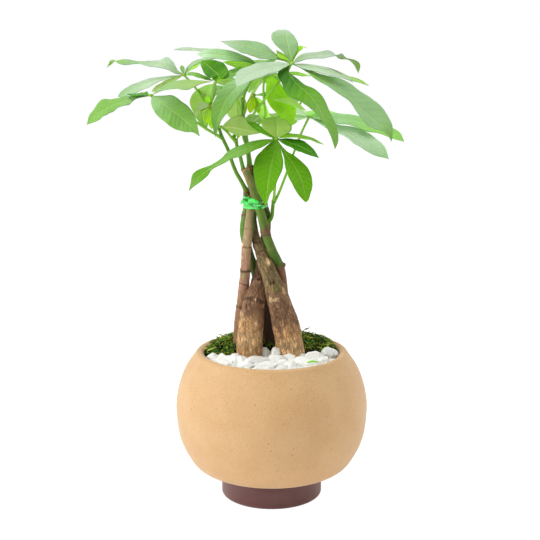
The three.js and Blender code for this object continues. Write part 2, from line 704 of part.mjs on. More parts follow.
        leaflets: {
          back_left: { rib: [[254, 74, -76], [252, 86, -112]], wide: 26, lean: -35, turn: 10 },
          back: { rib: [[268, 74, -80], [272, 86, -118]], wide: 28, lean: -35, turn: -10 },
          right: { rib: [[276, 76, -60], [290, 84, -78]], wide: 26, lean: -20, turn: -30 },
          up: { rib: [[260, 68, -54], [258, 60, -70]], wide: 22, lean: 20, turn: 0 },
        },
      },
    ],
  },
  shoot_back_right: {
    colour: 0x72b14b,
    stem: [[252, 197, 1], [260, 172, -12], [274, 140, -24], [286, 118, -30]],
    thick: [4.2, 3],
    fronds: [
      {
        petiole: [[285, 120, -30], [294, 106, -35]],
        hub: [301, 92, -40],
        leaflets: {
          back_left: { rib: [[296, 86, -68], [290, 97, -100]], wide: 26, lean: -35, turn: 10 },
          back: { rib: [[308, 86, -70], [312, 96, -104]], wide: 27, lean: -35, turn: -10 },
          right: { rib: [[312, 88, -54], [322, 98, -74]], wide: 24, lean: -20, turn: -30 },
          up: { rib: [[304, 80, -46], [308, 74, -62]], wide: 22, lean: 15, turn: 0 },
        },
      },
      {
        petiole: [[274, 140, -24], [272, 128, -34]],
        hub: [272, 119, -42],
        leaflets: {
          left: { rib: [[260, 117, -54], [250, 124, -68]], wide: 24, lean: -25, turn: 20 },
          back: { rib: [[272, 114, -72], [272, 126, -102]], wide: 26, lean: -40, turn: 0 },
          right: { rib: [[284, 117, -56], [292, 125, -72]], wide: 24, lean: -25, turn: -20 },
        },
      },
    ],
  },
};

// How wide a leaflet is along its rib, from 0 at the stalk to 1 where it is widest
function outlineAt(share) {
  return (share / 0.6) ** 1.1 * ((1 - share) / 0.4) ** 0.74;
}

function faceOf(lean, turn) {
  const tip = THREE.MathUtils.degToRad(lean);
  const side = THREE.MathUtils.degToRad(turn);
  return new THREE.Vector3(Math.sin(tip) * Math.sin(side), -Math.sin(tip) * Math.cos(side), Math.cos(tip));
}

function leafletSolid(hub, { rib, wide, lean, turn, twist = lean }) {
  const points = rib.map(sight);
  const start = points[0].clone().sub(hub).setLength(KNOB_RADIUS * 0.7).add(hub);
  const line = new THREE.CatmullRomCurve3([start, ...points], false, 'centripetal');
  const fold = 0.1;
  const long = line.getLength();
  const rows = THREE.MathUtils.clamp(Math.round(long / LEAF_ROWS.each), LEAF_ROWS.fewest, LEAF_ROWS.most);
  const waves = 3.2;
  const ripple = wide * 0.035;
  const phase = long * 0.7;
  const pointAt = (i, j) => {
    const share = i / rows;
    const point = line.getPointAt(share);
    const along = line.getTangentAt(share);
    const face = faceOf(THREE.MathUtils.lerp(lean, twist, share), turn);
    const normal = face.clone().addScaledVector(along, -face.dot(along)).normalize();
    const across = along.clone().cross(normal);
    const end = share > 0.99 ? 0.35 : 0.9;
    const half = Math.max((wide / 2) * outlineAt(share), end);
    const side = j - 1;
    point.addScaledVector(across, side * half * Math.cos(fold));
    point.addScaledVector(normal, Math.abs(side) * half * Math.sin(fold));
    const wave = ripple * Math.sin(2 * Math.PI * waves * share + phase + side) * outlineAt(share);
    return point.addScaledVector(normal, Math.abs(side) * wave);
  };
  return solidOf(sheet(rows, 2, pointAt, LEAF_THICKNESS));
}

function stalkSolid(points, fromRadius, toRadius, steps) {
  const line = new THREE.CatmullRomCurve3(points, false, 'centripetal');
  const radiusAt = (share) => THREE.MathUtils.lerp(fromRadius, toRadius, share);
  return solidOf(bar(line, radiusAt, STALK_SIDES, steps));
}

function frondSolids({ petiole, hub, leaflets }) {
  const centre = sight(hub);
  const knob = new THREE.OctahedronGeometry(KNOB_RADIUS, 0);
  knob.translate(centre.x, centre.y, centre.z);
  const stalk = stalkSolid([...petiole.map(sight), centre], 1.5, 1.1, petiole.length + 2);
  const blades = Object.values(leaflets).map((leaflet) => leafletSolid(centre, leaflet));
  return [stalk, solidOf(knob), ...blades];
}

function shootSolid({ stem, thick, fronds }) {
  const points = stem.map(sight);
  const stalk = stalkSolid(points, thick[0] / 2, thick[1] / 2, stem.length + 1);
  return fused([stalk, ...fronds.flatMap(frondSolids)]);
}

// Assembly

const group = new THREE.Group();

function addPiece(name, geometry, colour, roughness) {
  const finish = new THREE.MeshStandardMaterial({ color: colour, roughness, metalness: 0 });
  const mesh = new THREE.Mesh(geometry, finish);
  mesh.name = name;
  group.add(mesh);
}

const caneRoom = fused(Object.values(CANES).map((cane) => canePart(cane, SEAT_GAP)));

addPiece('foot', footGeometry(), 0x6b4543, 0.45);
addPiece('pot', potGeometry(), 0xd9b184, 0.85);
addPiece('soil', geometryOf(soilSolid(caneRoom)), 0x2d2119, 0.95);
addPiece('pebbles', geometryOf(pebblesSolid(caneRoom)), 0xf0efea, 0.6);
addPiece('moss', geometryOf(mossSolid(caneRoom)), 0x4d6b1f, 0.95);
Object.entries(CANES).forEach(([name, cane]) => {
  addPiece(name, geometryOf(canePart(cane, 0)), cane.colour, 0.85);
});
addPiece('tie', geometryOf(tieSolid(caneRoom)), 0x35dd55, 0.4);
Object.entries(SHOOTS).forEach(([name, shoot]) => {
  addPiece(name, geometryOf(mainBody(shootSolid(shoot).subtract(caneRoom))), shoot.colour, 0.55);
});

export default group;
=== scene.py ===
"""A potted money tree: five braided canes with palmate leaves, in a round bowl on a low foot.

Metres, +Z up. The origin is the centre of the foot's underside; -Y is the front.
"""

import bisect
import logging
import math
import random
from dataclasses import dataclass, field
from enum import Enum
from typing import Callable, Sequence, Union

import bmesh
import bpy
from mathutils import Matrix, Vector, noise
from mathutils.geometry import interpolate_bezier


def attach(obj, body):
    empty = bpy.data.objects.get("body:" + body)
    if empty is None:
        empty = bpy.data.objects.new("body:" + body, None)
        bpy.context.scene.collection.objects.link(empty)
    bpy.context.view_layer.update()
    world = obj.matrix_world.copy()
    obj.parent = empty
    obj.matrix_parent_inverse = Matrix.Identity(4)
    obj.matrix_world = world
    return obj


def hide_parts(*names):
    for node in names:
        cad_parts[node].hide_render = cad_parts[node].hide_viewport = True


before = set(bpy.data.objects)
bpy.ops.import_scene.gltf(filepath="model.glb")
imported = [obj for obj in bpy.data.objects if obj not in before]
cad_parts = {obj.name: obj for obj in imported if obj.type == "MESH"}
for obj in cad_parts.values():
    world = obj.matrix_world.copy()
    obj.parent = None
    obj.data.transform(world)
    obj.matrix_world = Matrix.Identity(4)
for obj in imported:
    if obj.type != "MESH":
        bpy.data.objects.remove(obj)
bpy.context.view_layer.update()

LOG = logging.getLogger("money_tree")
MM = 0.001
WELD = 0.001 * MM
Mesh = bmesh.types.BMesh
Vert = bmesh.types.BMVert
Material = bpy.types.Material
Colour = tuple[float, float, float, float]
Place = tuple[float, float, float]
Spot = tuple[float, float]

# Driving dimensions, as in the part's source
POT_RADIUS = 95 * MM
POT_WIDEST_Z = 88 * MM
MOUTH_RADIUS = 67 * MM
LIP_Z = 148 * MM
FOOT_RADIUS = 50.2 * MM
FOOT_HEIGHT = 23.5 * MM
SOIL_Z = 136 * MM
SEAT_GAP = 0.3 * MM
KNOB_RADIUS = 2.2 * MM
CANE_ROOT_DEPTH = 42 * MM
PEBBLE_LINE_DEPTH = 4 * MM
PEBBLE_LINE_SLANT = 0.1
SIDE_VEINS = 13.0


def paint(red: float, green: float, blue: float) -> Colour:
    """Turn a colour as a screen shows it, from 0 to 255, into linear light.

    Args:
        red: the red share, from 0 to 255.
        green: the green share.
        blue: the blue share.

    Returns:
        The colour with full alpha.
    """
    shares = (c / 255 for c in (red, green, blue))
    linear = tuple(s / 12.92 if s <= 0.04045 else ((s + 0.055) / 1.055) ** 2.4 for s in shares)
    return (*linear, 1.0)


def between(a: float, b: float, share: float) -> float:
    """Return the value that lies a share of the way from a to b."""
    return a + (b - a) * share


def blended(a: Colour, b: Colour, share: float) -> Colour:
    """Return the colour that lies a share of the way from a to b."""
    return tuple(between(x, y, share) for x, y in zip(a, b))


def shaded(colour: Colour, share: float) -> Colour:
    """Return the colour made lighter or darker by a factor."""
    return (colour[0] * share, colour[1] * share, colour[2] * share, 1.0)


def eased(value: float, low: float, high: float) -> float:
    """Return 0 below low, 1 above high, and a smooth step between them."""
    share = min(1.0, max(0.0, (value - low) / (high - low)))
    return share * share * (3 - 2 * share)


def bell(value: float) -> float:
    """Return 1 at 0, and less and less on both sides."""
    return math.exp(-(value ** 2))


def read_along(values: Sequence, share: float, mix: Callable = between) -> Union[float, Colour]:
    """Read a list of evenly spaced values.

    Args:
        values: the values.
        share: the share of the list's length.
        mix: what finds a value between two others.

    Returns:
        The value there.
    """
    reach = min(1.0, max(0.0, share)) * (len(values) - 1)
    k = min(int(reach), max(len(values) - 2, 0))
    return mix(values[k], values[min(k + 1, len(values) - 1)], reach - k)


@dataclass(frozen=True)
class Eye:
    """Where the plant is seen from, in mm and radians, and how big the picture is."""

    x: float = -1.65
    distance: float = 1100
    height: float = 448.1
    pitch: float = 0.197
    focal: float = 1147
    centre: float = 270

    def place(self) -> Vector:
        """Return the eye's own place in metres."""
        return Vector((self.x, -self.distance, self.height)) * MM

    def sight(self, place: Place) -> Vector:
        """Find the point seen at a place in the picture.

        Args:
            place: across and down in the picture, and the depth in mm towards the eye from the pot's axis.

        Returns:
            The point in metres.
        """
        across, down, depth = place
        right = (across - self.centre) / self.focal
        rise = (self.centre - down) / self.focal
        ahead = math.cos(self.pitch) + rise * math.sin(self.pitch)
        up = rise * math.cos(self.pitch) - math.sin(self.pitch)
        reach = (self.distance - depth) / ahead
        return Vector((self.x + right * reach, -depth, self.height + up * reach)) * MM

    def sights(self, places: Sequence[Place]) -> list[Vector]:
        """Find the points seen at places in the picture."""
        return [self.sight(place) for place in places]

    def at_height(self, across: float, down: float, height: float) -> Vector:
        """Find the point seen at a place in the picture, at a height in metres."""
        near = self.sight((across, down, 0))
        return self.place().lerp(near, (height - self.place().z) / (near.z - self.place().z))

    def seen(self, point: Vector) -> Spot:
        """Find where a point is seen.

        Args:
            point: the point in metres.

        Returns:
            The place across and down in the picture.
        """
        away = (point - self.place()) / MM
        ahead = away.y * math.cos(self.pitch) - away.z * math.sin(self.pitch)
        up = away.y * math.sin(self.pitch) + away.z * math.cos(self.pitch)
        return self.centre + self.focal * away.x / ahead, self.centre - self.focal * up / ahead


EYE = Eye()


class Route:
    """A smooth line through points, read by its share of length."""

    def __init__(self, points: Sequence[Vector], steps: int = 12) -> None:
        """Lay the line.

        Args:
            points: the points that the line goes through.
            steps: how many short straight runs stand for each stretch between two points.
        """
        ends = [points[0] * 2 - points[1], *points, points[-1] * 2 - points[-2]]
        self.places = [points[0].copy()]
        knots = [0]
        for a, b, c, d in zip(ends, ends[1:], ends[2:], ends[3:]):
            ab, bc, cd = (math.sqrt((q - p).length) for p, q in ((a, b), (b, c), (c, d)))
            leave = ((b - a) / ab - (c - a) / (ab + bc) + (c - b) / bc) * bc
            reach = ((c - b) / bc - (d - b) / (bc + cd) + (d - c) / cd) * bc
            run = interpolate_bezier(b, b + leave / 3, c - reach / 3, c, steps + 1)
            self.places.extend(run[1:])
            knots.append(len(self.places) - 1)
        self.runs = [0.0]
        for a, b in zip(self.places, self.places[1:]):
            self.runs.append(self.runs[-1] + (b - a).length)
        self.length = self.runs[-1]
        self.knots = [self.runs[k] / self.length for k in knots]

    def at(self, share: float) -> Vector:
        """Find a point of the line.

        Args:
            share: the share of the length.

        Returns:
            The point.
        """
        reach = min(1.0, max(0.0, share)) * self.length
        k = min(max(bisect.bisect_right(self.runs, reach) - 1, 0), len(self.runs) - 2)
        run = self.runs[k + 1] - self.runs[k]
        return self.places[k].lerp(self.places[k + 1], (reach - self.runs[k]) / run)

    def along(self, share: float) -> Vector:
        """Return the direction in which the line runs at a share of its length."""
        reach = 0.01
        return (self.at(share + reach) - self.at(share - reach)).normalized()

    def frames(self, steps: int, facing: Vector) -> list[tuple[Vector, Vector, Vector]]:
        """Carry a pair of cross directions along the line without twist.

        Args:
            steps: how many stretches to cut the line into.
            facing: the side that the first cross direction looks to.

        Returns:
            The point and the two cross directions at each cut.
        """
        cuts = []
        normal = facing
        for step in range(steps + 1):
            along = self.along(step / steps)
            normal = (normal - along * normal.dot(along)).normalized()
            cuts.append((self.at(step / steps), normal, along.cross(normal)))
        return cuts


Value = Union["Wire", float]


class Wire:
    """A shader socket that takes part in plain arithmetic."""

    def __init__(self, graph: "Graph", socket: bpy.types.NodeSocket) -> None:
        """Wrap a socket of one of the graph's nodes."""
        self.graph = graph
        self.socket = socket

    def __add__(self, other: Value) -> "Wire":
        """Add a number or a wire."""
        return self.graph.maths("ADD", self, other)

    __radd__ = __add__

    def __sub__(self, other: Value) -> "Wire":
        """Take away a number or a wire."""
        return self.graph.maths("SUBTRACT", self, other)

    def __rsub__(self, other: Value) -> "Wire":
        """Take this wire from a number."""
        return self.graph.maths("SUBTRACT", other, self)

    def __mul__(self, other: Value) -> "Wire":
        """Multiply by a number or a wire."""
        return self.graph.maths("MULTIPLY", self, other)

    __rmul__ = __mul__

    def __abs__(self) -> "Wire":
        """Drop the sign."""
        return self.graph.maths("ABSOLUTE", self)

    def part(self) -> "Wire":
        """Keep what follows the decimal point."""
        return self.graph.maths("FRACT", self)

    def step(self, low: float, high: float) -> "Wire":
        """Rise smoothly from 0 to 1, or fall if high is below low.

        Args:
            low: where the result is 0.
            high: where the result is 1.

        Returns:
            The result.
        """
        falls = high < low
        sockets = {0: self, 1: min(low, high), 2: max(low, high)}
        risen = self.graph.wire("ShaderNodeMapRange", {"interpolation_type": "SMOOTHSTEP"}, sockets)
        return 1 - risen if falls else risen


class Graph:
    """A tree of nodes that is written as plain arithmetic."""

    def __init__(self, tree: bpy.types.NodeTree) -> None:
        """Take a tree and empty it."""
        self.tree = tree
        self.tree.nodes.clear()

    def node(self, kind: str, settings: dict, sockets: dict) -> bpy.types.Node:
        """Add a node.

        Args:
            kind: the node's type.
            settings: its properties.
            sockets: the value or wire of each of its inputs, by name or number.

        Returns:
            The new node.
        """
        made = self.tree.nodes.new(kind)
        for name, value in settings.items():
            setattr(made, name, value)
        for name, value in sockets.items():
            self.feed(made.inputs[name], value)
        return made

    def wire(self, kind: str, settings: dict, sockets: dict, output: Union[int, str] = 0) -> Wire:
        """Add a node, and return one of its outputs."""
        return Wire(self, self.node(kind, settings, sockets).outputs[output])

    def feed(self, socket: bpy.types.NodeSocket, value: Union[Value, Colour]) -> None:
        """Give a socket a plain value or a wire.

        Args:
            socket: the input.
            value: the value or the wire.
        """
        if isinstance(value, Wire):
            self.tree.links.new(value.socket, socket)
        else:
            socket.default_value = value

    def maths(self, operation: str, *values: Value) -> Wire:
        """Add a Math node for an operation on one or two values."""
        return self.wire("ShaderNodeMath", {"operation": operation}, dict(enumerate(values)))

    def mix(self, share: Value, a: Union[Wire, Colour], b: Union[Wire, Colour], how: str = "MIX") -> Wire:
        """Mix two colours.

        Args:
            share: how much of the second colour shows.
            a: the first colour.
            b: the second colour.
            how: the blend type.

        Returns:
            The mixed colour.
        """
        settings = {"data_type": "RGBA", "blend_type": how}
        return self.wire("ShaderNodeMix", settings, {0: share, 6: a, 7: b}, 2)

    def lit(self, colour: Wire, light: Wire) -> Wire:
        """Make a colour lighter or darker by a number."""
        grey = self.wire("ShaderNodeCombineColor", {}, {0: light, 1: light, 2: light})
        return self.mix(1.0, colour, grey, "MULTIPLY")

    def stretched(self, vector: Wire, scale: Place) -> Wire:
        """Scale a vector along its axes."""
        return self.wire("ShaderNodeVectorMath", {"operation": "MULTIPLY"}, {0: vector, 1: scale})

    def split(self, vector: Wire) -> list[Wire]:
        """Split a vector into its three numbers."""
        made = self.node("ShaderNodeSeparateXYZ", {}, {0: vector})
        return [Wire(self, output) for output in made.outputs]


class Finish(Graph):
    """A material's nodes, with one shader that they feed."""

    def __init__(self, name: str, roughness: float, **constants: float) -> None:
        """Start a material.

        Args:
            name: the material's name.
            roughness: the shader's roughness where nothing else feeds it.
            constants: other numbers of the shader's sockets, by name with _ for a space.
        """
        self.material = bpy.data.materials.new(name)
        self.material.use_nodes = True
        super().__init__(self.material.node_tree)
        sockets = {key.replace("_", " "): value for key, value in constants.items()}
        self.shader = self.node("ShaderNodeBsdfPrincipled", {}, {"Roughness": roughness, **sockets})
        surface = {"Surface": Wire(self, self.shader.outputs[0])}
        self.out = self.node("ShaderNodeOutputMaterial", {}, surface)

    def tint(self) -> Wire:
        """Read the colour painted on the mesh."""
        return self.wire("ShaderNodeAttribute", {"attribute_name": "tint"}, {}, "Color")

    def grain(self) -> Wire:
        """Read the straightened coordinates stored on the mesh."""
        return self.wire("ShaderNodeAttribute", {"attribute_name": "grain"}, {}, "Vector")

    def place(self) -> Wire:
        """Read the coordinates of the object."""
        return self.wire("ShaderNodeTexCoord", {}, {}, "Object")

    def cloud(self, vector: Wire, scale: float, detail: float = 4, rough: float = 0.55) -> Wire:
        """Return a soft noise from 0 to 1, about 0.5."""
        sockets = {"Vector": vector, "Scale": scale, "Detail": detail, "Roughness": rough}
        return self.wire("ShaderNodeTexNoise", {}, sockets)

    def cells(self, vector: Wire, scale: float) -> Wire:
        """Return the distance to the nearest of many scattered points."""
        return self.wire("ShaderNodeTexVoronoi", {}, {"Vector": vector, "Scale": scale}, "Distance")

    def bumped(self, height: Wire, strength: float, reach: float) -> None:
        """Feed the shader's normal with a bump.

        Args:
            height: the height, from 0 to 1.
            strength: how strongly the bump shows.
            reach: the real height in metres.
        """
        sockets = {"Strength": strength, "Distance": reach, "Height": height}
        self.wear("Normal", self.wire("ShaderNodeBump", {}, sockets))

    def wear(self, socket: str, value: Union[Value, Colour]) -> None:
        """Feed one of the shader's inputs by name."""
        self.feed(self.shader.inputs[socket], value)


@dataclass(frozen=True)
class PotCeramic:
    """Sand-coloured unglazed ceramic with fine dark specks."""

    body: Colour = paint(208, 166, 116)
    pale: Colour = paint(214, 175, 127)
    speck: Colour = paint(126, 74, 40)

    def material(self) -> Material:
        """Build the material.

        Returns:
            The material.
        """
        graph = Finish("pot_ceramic", 0.62, Specular_IOR_Level=0.35, Sheen_Weight=0.22, Sheen_Roughness=0.45)
        place = graph.place()
        mottle = graph.cloud(place, 38, 6)
        fine = graph.cloud(place, 620, 4, 0.75)
        clay = graph.mix(mottle.step(0.3, 0.75), self.body, self.pale)
        small = graph.cells(place, 560).step(0.3, 0.12) * graph.cloud(place, 60).step(0.3, 0.55)
        large = graph.cells(place, 110).step(0.11, 0.05) * graph.cloud(place, 34).step(0.36, 0.52)
        dotted = graph.mix(small * 0.42, clay, self.speck)
        dotted = graph.mix(large * 0.45, dotted, self.speck)
        graph.wear("Base Color", graph.lit(dotted, 0.86 + 0.28 * fine))
        graph.wear("Roughness", 0.55 + 0.18 * mottle)
        graph.bumped(fine * 0.6 + mottle * 0.4 - large * 0.3, 0.35, 0.35 * MM)
        return graph.material


@dataclass(frozen=True)
class FootGlaze:
    """Dark mauve-brown satin glaze."""

    body: Colour = paint(102, 58, 56)
    worn: Colour = paint(126, 84, 80)

    def material(self) -> Material:
        """Build the material.

        Returns:
            The material.
        """
        graph = Finish("foot_glaze", 0.4, Coat_Weight=0.25, Coat_Roughness=0.4, Sheen_Weight=0.24)
        place = graph.place()
        mottle = graph.cloud(place, 60, 5)
        fine = graph.cloud(place, 700, 3, 0.7)
        edge = graph.split(place)[2].step(4 * MM, 0.8 * MM)
        colour = graph.mix(mottle.step(0.45, 0.75) * 0.35 + edge * 0.4, self.body, self.worn)
        graph.wear("Base Color", graph.lit(colour, 0.92 + 0.16 * fine))
        graph.wear("Roughness", 0.34 + 0.16 * mottle)
        graph.bumped(fine, 0.2, 0.2 * MM)
        return graph.material


@dataclass(frozen=True)
class Earth:
    """Dark potting soil."""

    dark: Colour = paint(26, 19, 14)
    light: Colour = paint(74, 54, 40)

    def material(self) -> Material:
        """Build the material.

        Returns:
            The material.
        """
        graph = Finish("potting_soil", 0.95)
        place = graph.place()
        crumbs = graph.cells(place, 320)
        mottle = graph.cloud(place, 160, 6)
        graph.wear("Base Color", graph.mix(mottle.step(0.4, 0.75) * 0.6, self.dark, self.light))
        graph.bumped(crumbs + mottle, 0.8, 1.2 * MM)
        return graph.material


@dataclass(frozen=True)
class WhiteStone:
    """White tumbled stone with faint grey veins."""

    vein: Colour = paint(226, 227, 220)

    def material(self) -> Material:
        """Build the material.

        Returns:
            The material.
        """
        graph = Finish("white_stone", 0.5, Specular_IOR_Level=0.4, Subsurface_Weight=0.05)
        graph.wear("Subsurface Scale", 1.5 * MM)
        place = graph.place()
        swirl = graph.cloud(place, 110, 5, 0.6)
        fine = graph.cloud(place, 850, 3, 0.65)
        vein = abs(swirl - 0.5).step(0.035, 0.0)
        stone = graph.mix(vein * 0.3 + swirl.step(0.5, 0.8) * 0.3, graph.tint(), self.vein)
        graph.wear("Base Color", stone)
        graph.wear("Roughness", 0.42 + 0.25 * swirl)
        graph.bumped(fine * 0.5 + swirl, 0.25, 0.5 * MM)
        return graph.material


@dataclass(frozen=True)
class MossGreen:
    """Stringy moss, lit and shaded strand by strand."""

    name: str
    rough: float = 0.75

    def material(self) -> Material:
        """Build the material.

        Returns:
            The material.
        """
        graph = Finish(self.name, self.rough, Specular_IOR_Level=0.3)
        place = graph.place()
        patch = graph.cloud(place, 90, 4)
        fine = graph.cloud(place, 1400, 3, 0.7)
        graph.wear("Base Color", graph.lit(graph.tint(), 0.55 + 0.6 * patch + 0.3 * fine))
        graph.bumped(fine, 0.5, 0.4 * MM)
        return graph.material


@dataclass(frozen=True)
class Bark:
    """Bark whose furrows follow the cane, over the colour painted on it, with painted shade in the cracks
    and between the plates.
    """

    name: str
    furrow: float
    streak: float
    rough: float
    flake: Colour = paint(204, 160, 116)

    def material(self) -> Material:
        """Build the material.

        Returns:
            The material.
        """
        graph = Finish(self.name, self.rough, Specular_IOR_Level=0.3)
        grain = graph.grain()
        long = graph.cloud(graph.stretched(grain, (1, 1, 0.34)), 560, 6, 0.66)
        broad = graph.cloud(graph.stretched(grain, (1, 1, 0.5)), 110, 5, 0.6)
        fine = graph.cloud(grain, 1500, 3, 0.7)
        crack = abs(long - 0.5).step(0.045, 0.0)
        plate = graph.cells(graph.stretched(grain, (1, 1, 0.45)), 300).step(0.42, 0.75)
        fleck = graph.cloud(graph.stretched(grain, (1, 1, 0.3)), 480, 3).step(0.57, 0.64) * self.furrow
        light = 1 + self.streak * (long - 0.5) + self.streak * (broad - 0.5) + 0.3 * (fine - 0.5)
        # Painted shade: darker in the cracks and towards the edges of the plates.
        light = light * (1.1 - crack * self.furrow * 0.5) * (1 - plate * self.furrow * 0.26)
        bark = graph.mix(fleck * 0.42, graph.tint(), self.flake)
        graph.wear("Base Color", graph.lit(bark, light))
        graph.wear("Roughness", self.rough - 0.15 + 0.3 * broad)
        graph.bumped(long + fine * 0.35 - crack * self.furrow, 0.75, (0.25 + 0.8 * self.furrow) * MM)
        return graph.material


@dataclass(frozen=True)
class Ribbon:
    """Bright green plastic ribbon, with painted highlights on the crease ridges and painted shade in the
    hollows and on the right.
    """

    body: Colour = paint(40, 218, 66)
    # pale is a painted highlight on the crease ridges, and deep is painted shade in the crease hollows and
    # over the right part.
    pale: Colour = paint(140, 255, 150)
    deep: Colour = paint(6, 96, 36)

    def material(self) -> Material:
        """Build the material.

        Returns:
            The material.
        """
        graph = Finish("tie_ribbon", 0.3, Coat_Weight=0.3, Coat_Roughness=0.2)
        place = graph.place()
        crease = graph.cloud(graph.stretched(place, (1, 1, 2.4)), 130, 2)
        # Painted highlight on the crease ridges.
        film = graph.mix(crease.step(0.54, 0.66) * 0.7, self.body, self.pale)
        # Painted shade in the crease hollows, reaching further over the right part.
        right = graph.split(place)[0].step(-0.018, -0.011)
        graph.wear("Base Color", graph.mix((crease - right * 0.09).step(0.46, 0.36) * 0.85, film, self.deep))
        graph.bumped(crease, 0.4, 0.5 * MM)
        return graph.material


@dataclass(frozen=True)
class LeafFace:
    """One face of the leaflets, over the colour painted on them.

    The stored coordinates are the share along the rib, the place across from -1 to 1, and the half width.
    """

    name: str
    rough: float
    gloss: float
    vein: Colour
    vein_share: float
    wash: Colour
    wash_share: float

    def material(self) -> Material:
        """Build the material.

        Returns:
            The material.
        """
        graph = Finish(self.name, self.rough, Specular_IOR_Level=self.gloss)
        share, side, half = graph.split(graph.grain())
        away = abs(side)
        from_rib = away * half
        rib = from_rib.step(0.66 * MM, 0.18 * MM) * share.step(1.02, 0.7)
        forward = (share - away * 0.085 - away * away * 0.05) * SIDE_VEINS
        lateral = abs((forward + 0.5).part() - 0.5).step(0.1, 0.01)
        lateral = lateral * away.step(1.0, 0.7) * away.step(0.0, 0.06)
        swell = graph.maths("COSINE", forward * math.tau) * away.step(0.0, 0.25) * away.step(1.0, 0.6)
        ripple = graph.cloud(graph.place(), 70, 3)
        fine = graph.cloud(graph.place(), 420, 2, 0.5)
        skin = graph.mix(self.wash_share, graph.tint(), self.wash)
        skin = graph.lit(skin, 0.87 + 0.2 * ripple + 0.06 * fine)
        veined = graph.mix(lateral * self.vein_share * 0.3, skin, self.vein)
        graph.wear("Base Color", graph.mix(rib * self.vein_share, veined, self.vein))
        graph.wear("Roughness", self.rough - 0.06 + 0.14 * ripple)
        graph.bumped(0.7 - swell * 0.7 - rib * 0.6, 0.5, 0.3 * MM)
        return graph.material


@dataclass(frozen=True)
class StalkGreen:
    """Smooth green stalks, over the colour painted on them."""

    def material(self) -> Material:
        """Build the material.

        Returns:
            The material.
        """
        graph = Finish("stalk_green", 0.42, Specular_IOR_Level=0.3)
        grain = graph.grain()
        streak = graph.cloud(graph.stretched(grain, (1, 1, 0.12)), 700, 3)
        fine = graph.cloud(grain, 1600, 2)
        graph.wear("Base Color", graph.lit(graph.tint(), 0.86 + 0.24 * streak + 0.06 * fine))
        graph.bumped(streak, 0.3, 0.25 * MM)
        return graph.material


class Body:
    """A mesh in the making, with the colour and the straightened coordinates that it carries."""

    def __init__(self) -> None:
        """Start an empty mesh with both layers."""
        self.bm = bmesh.new()
        self.tint = self.bm.verts.layers.float_color.new("tint")
        self.grain = self.bm.verts.layers.float_vector.new("grain")

    def set(self, vert: Vert, tint: Colour, grain: Sequence[float]) -> None:
        """Store both values at a point."""
        vert[self.tint] = tint
        vert[self.grain] = grain


def to_piece(
    name: str, bm: Mesh, materials: Sequence[Material], nodes: Sequence[str] = (),
) -> bpy.types.Object:
    """Make a finished piece of a mesh.

    Args:
        name: the piece's name.
        bm: the mesh, which is used up.
        materials: the materials of its faces.
        nodes: the CAD nodes that it stands for.

    Returns:
        The new object, riding on the part.
    """
    mesh = bpy.data.meshes.new(name)
    for face in bm.faces:
        face.smooth = True
    bm.to_mesh(mesh)
    bm.free()
    for material in materials:
        mesh.materials.append(material)
    piece = bpy.data.objects.new(name, mesh)
    bpy.context.scene.collection.objects.link(piece)
    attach(piece, "root")
    if nodes:
        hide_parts(*nodes)
    LOG.info("%s: %d faces", name, len(mesh.polygons))
    return piece


def level(angle: float) -> Vector:
    """Return the level direction at an angle from +X."""
    return Vector((math.cos(angle), math.sin(angle), 0))


def on_ring(cut: tuple[Vector, Vector, Vector], angle: float, radius: float) -> Vector:
    """Return the place at an angle on a ring round a cut of a route."""
    centre, normal, side = cut
    return centre + normal * (math.cos(angle) * radius) + side * (math.sin(angle) * radius)


def straight(route: Route, share: float, angle: float, radius: float) -> Place:
    """Return a place on a bar as it would be if the bar were straight."""
    return (math.cos(angle) * radius, math.sin(angle) * radius, share * route.length)


def bar(
    bm: Mesh, route: Route, radius_at: Callable[[float, float], float], sides: int, steps: int,
    dress: Callable[[Vert, float, float, float], None],
) -> None:
    """Bend a flat grid into a round bar along a route, and close its seam.

    Args:
        bm: the mesh to add to.
        route: the bar's middle line.
        radius_at: the radius at a share of the length and an angle.
        sides: the number of facets round the bar.
        steps: the number of facets along it.
        dress: what to store at each point, given the point, the share, the angle and the radius.
    """
    cuts = route.frames(steps, Vector((0, 1, 0)))
    made = bmesh.ops.create_grid(bm, x_segments=steps, y_segments=sides, size=0.5)["verts"]
    for vert in made:
        share = vert.co.x + 0.5
        angle = math.tau * (0.5 - vert.co.y)
        radius = radius_at(share, angle)
        vert.co = on_ring(cuts[round(share * steps)], angle, radius)
        dress(vert, share, angle, radius)
    bmesh.ops.remove_doubles(bm, verts=made, dist=WELD)
    kept = (vert for vert in made if vert.is_valid)
    rims = {edge for vert in kept for edge in vert.link_edges if edge.is_boundary}
    bmesh.ops.holes_fill(bm, edges=list(rims), sides=0)


def upright(pairs: Sequence[tuple[float, float]]) -> list[Vector]:
    """Stand pairs of a radius and a height up as points."""
    return [Vector((radius, 0, z)) for radius, z in pairs]


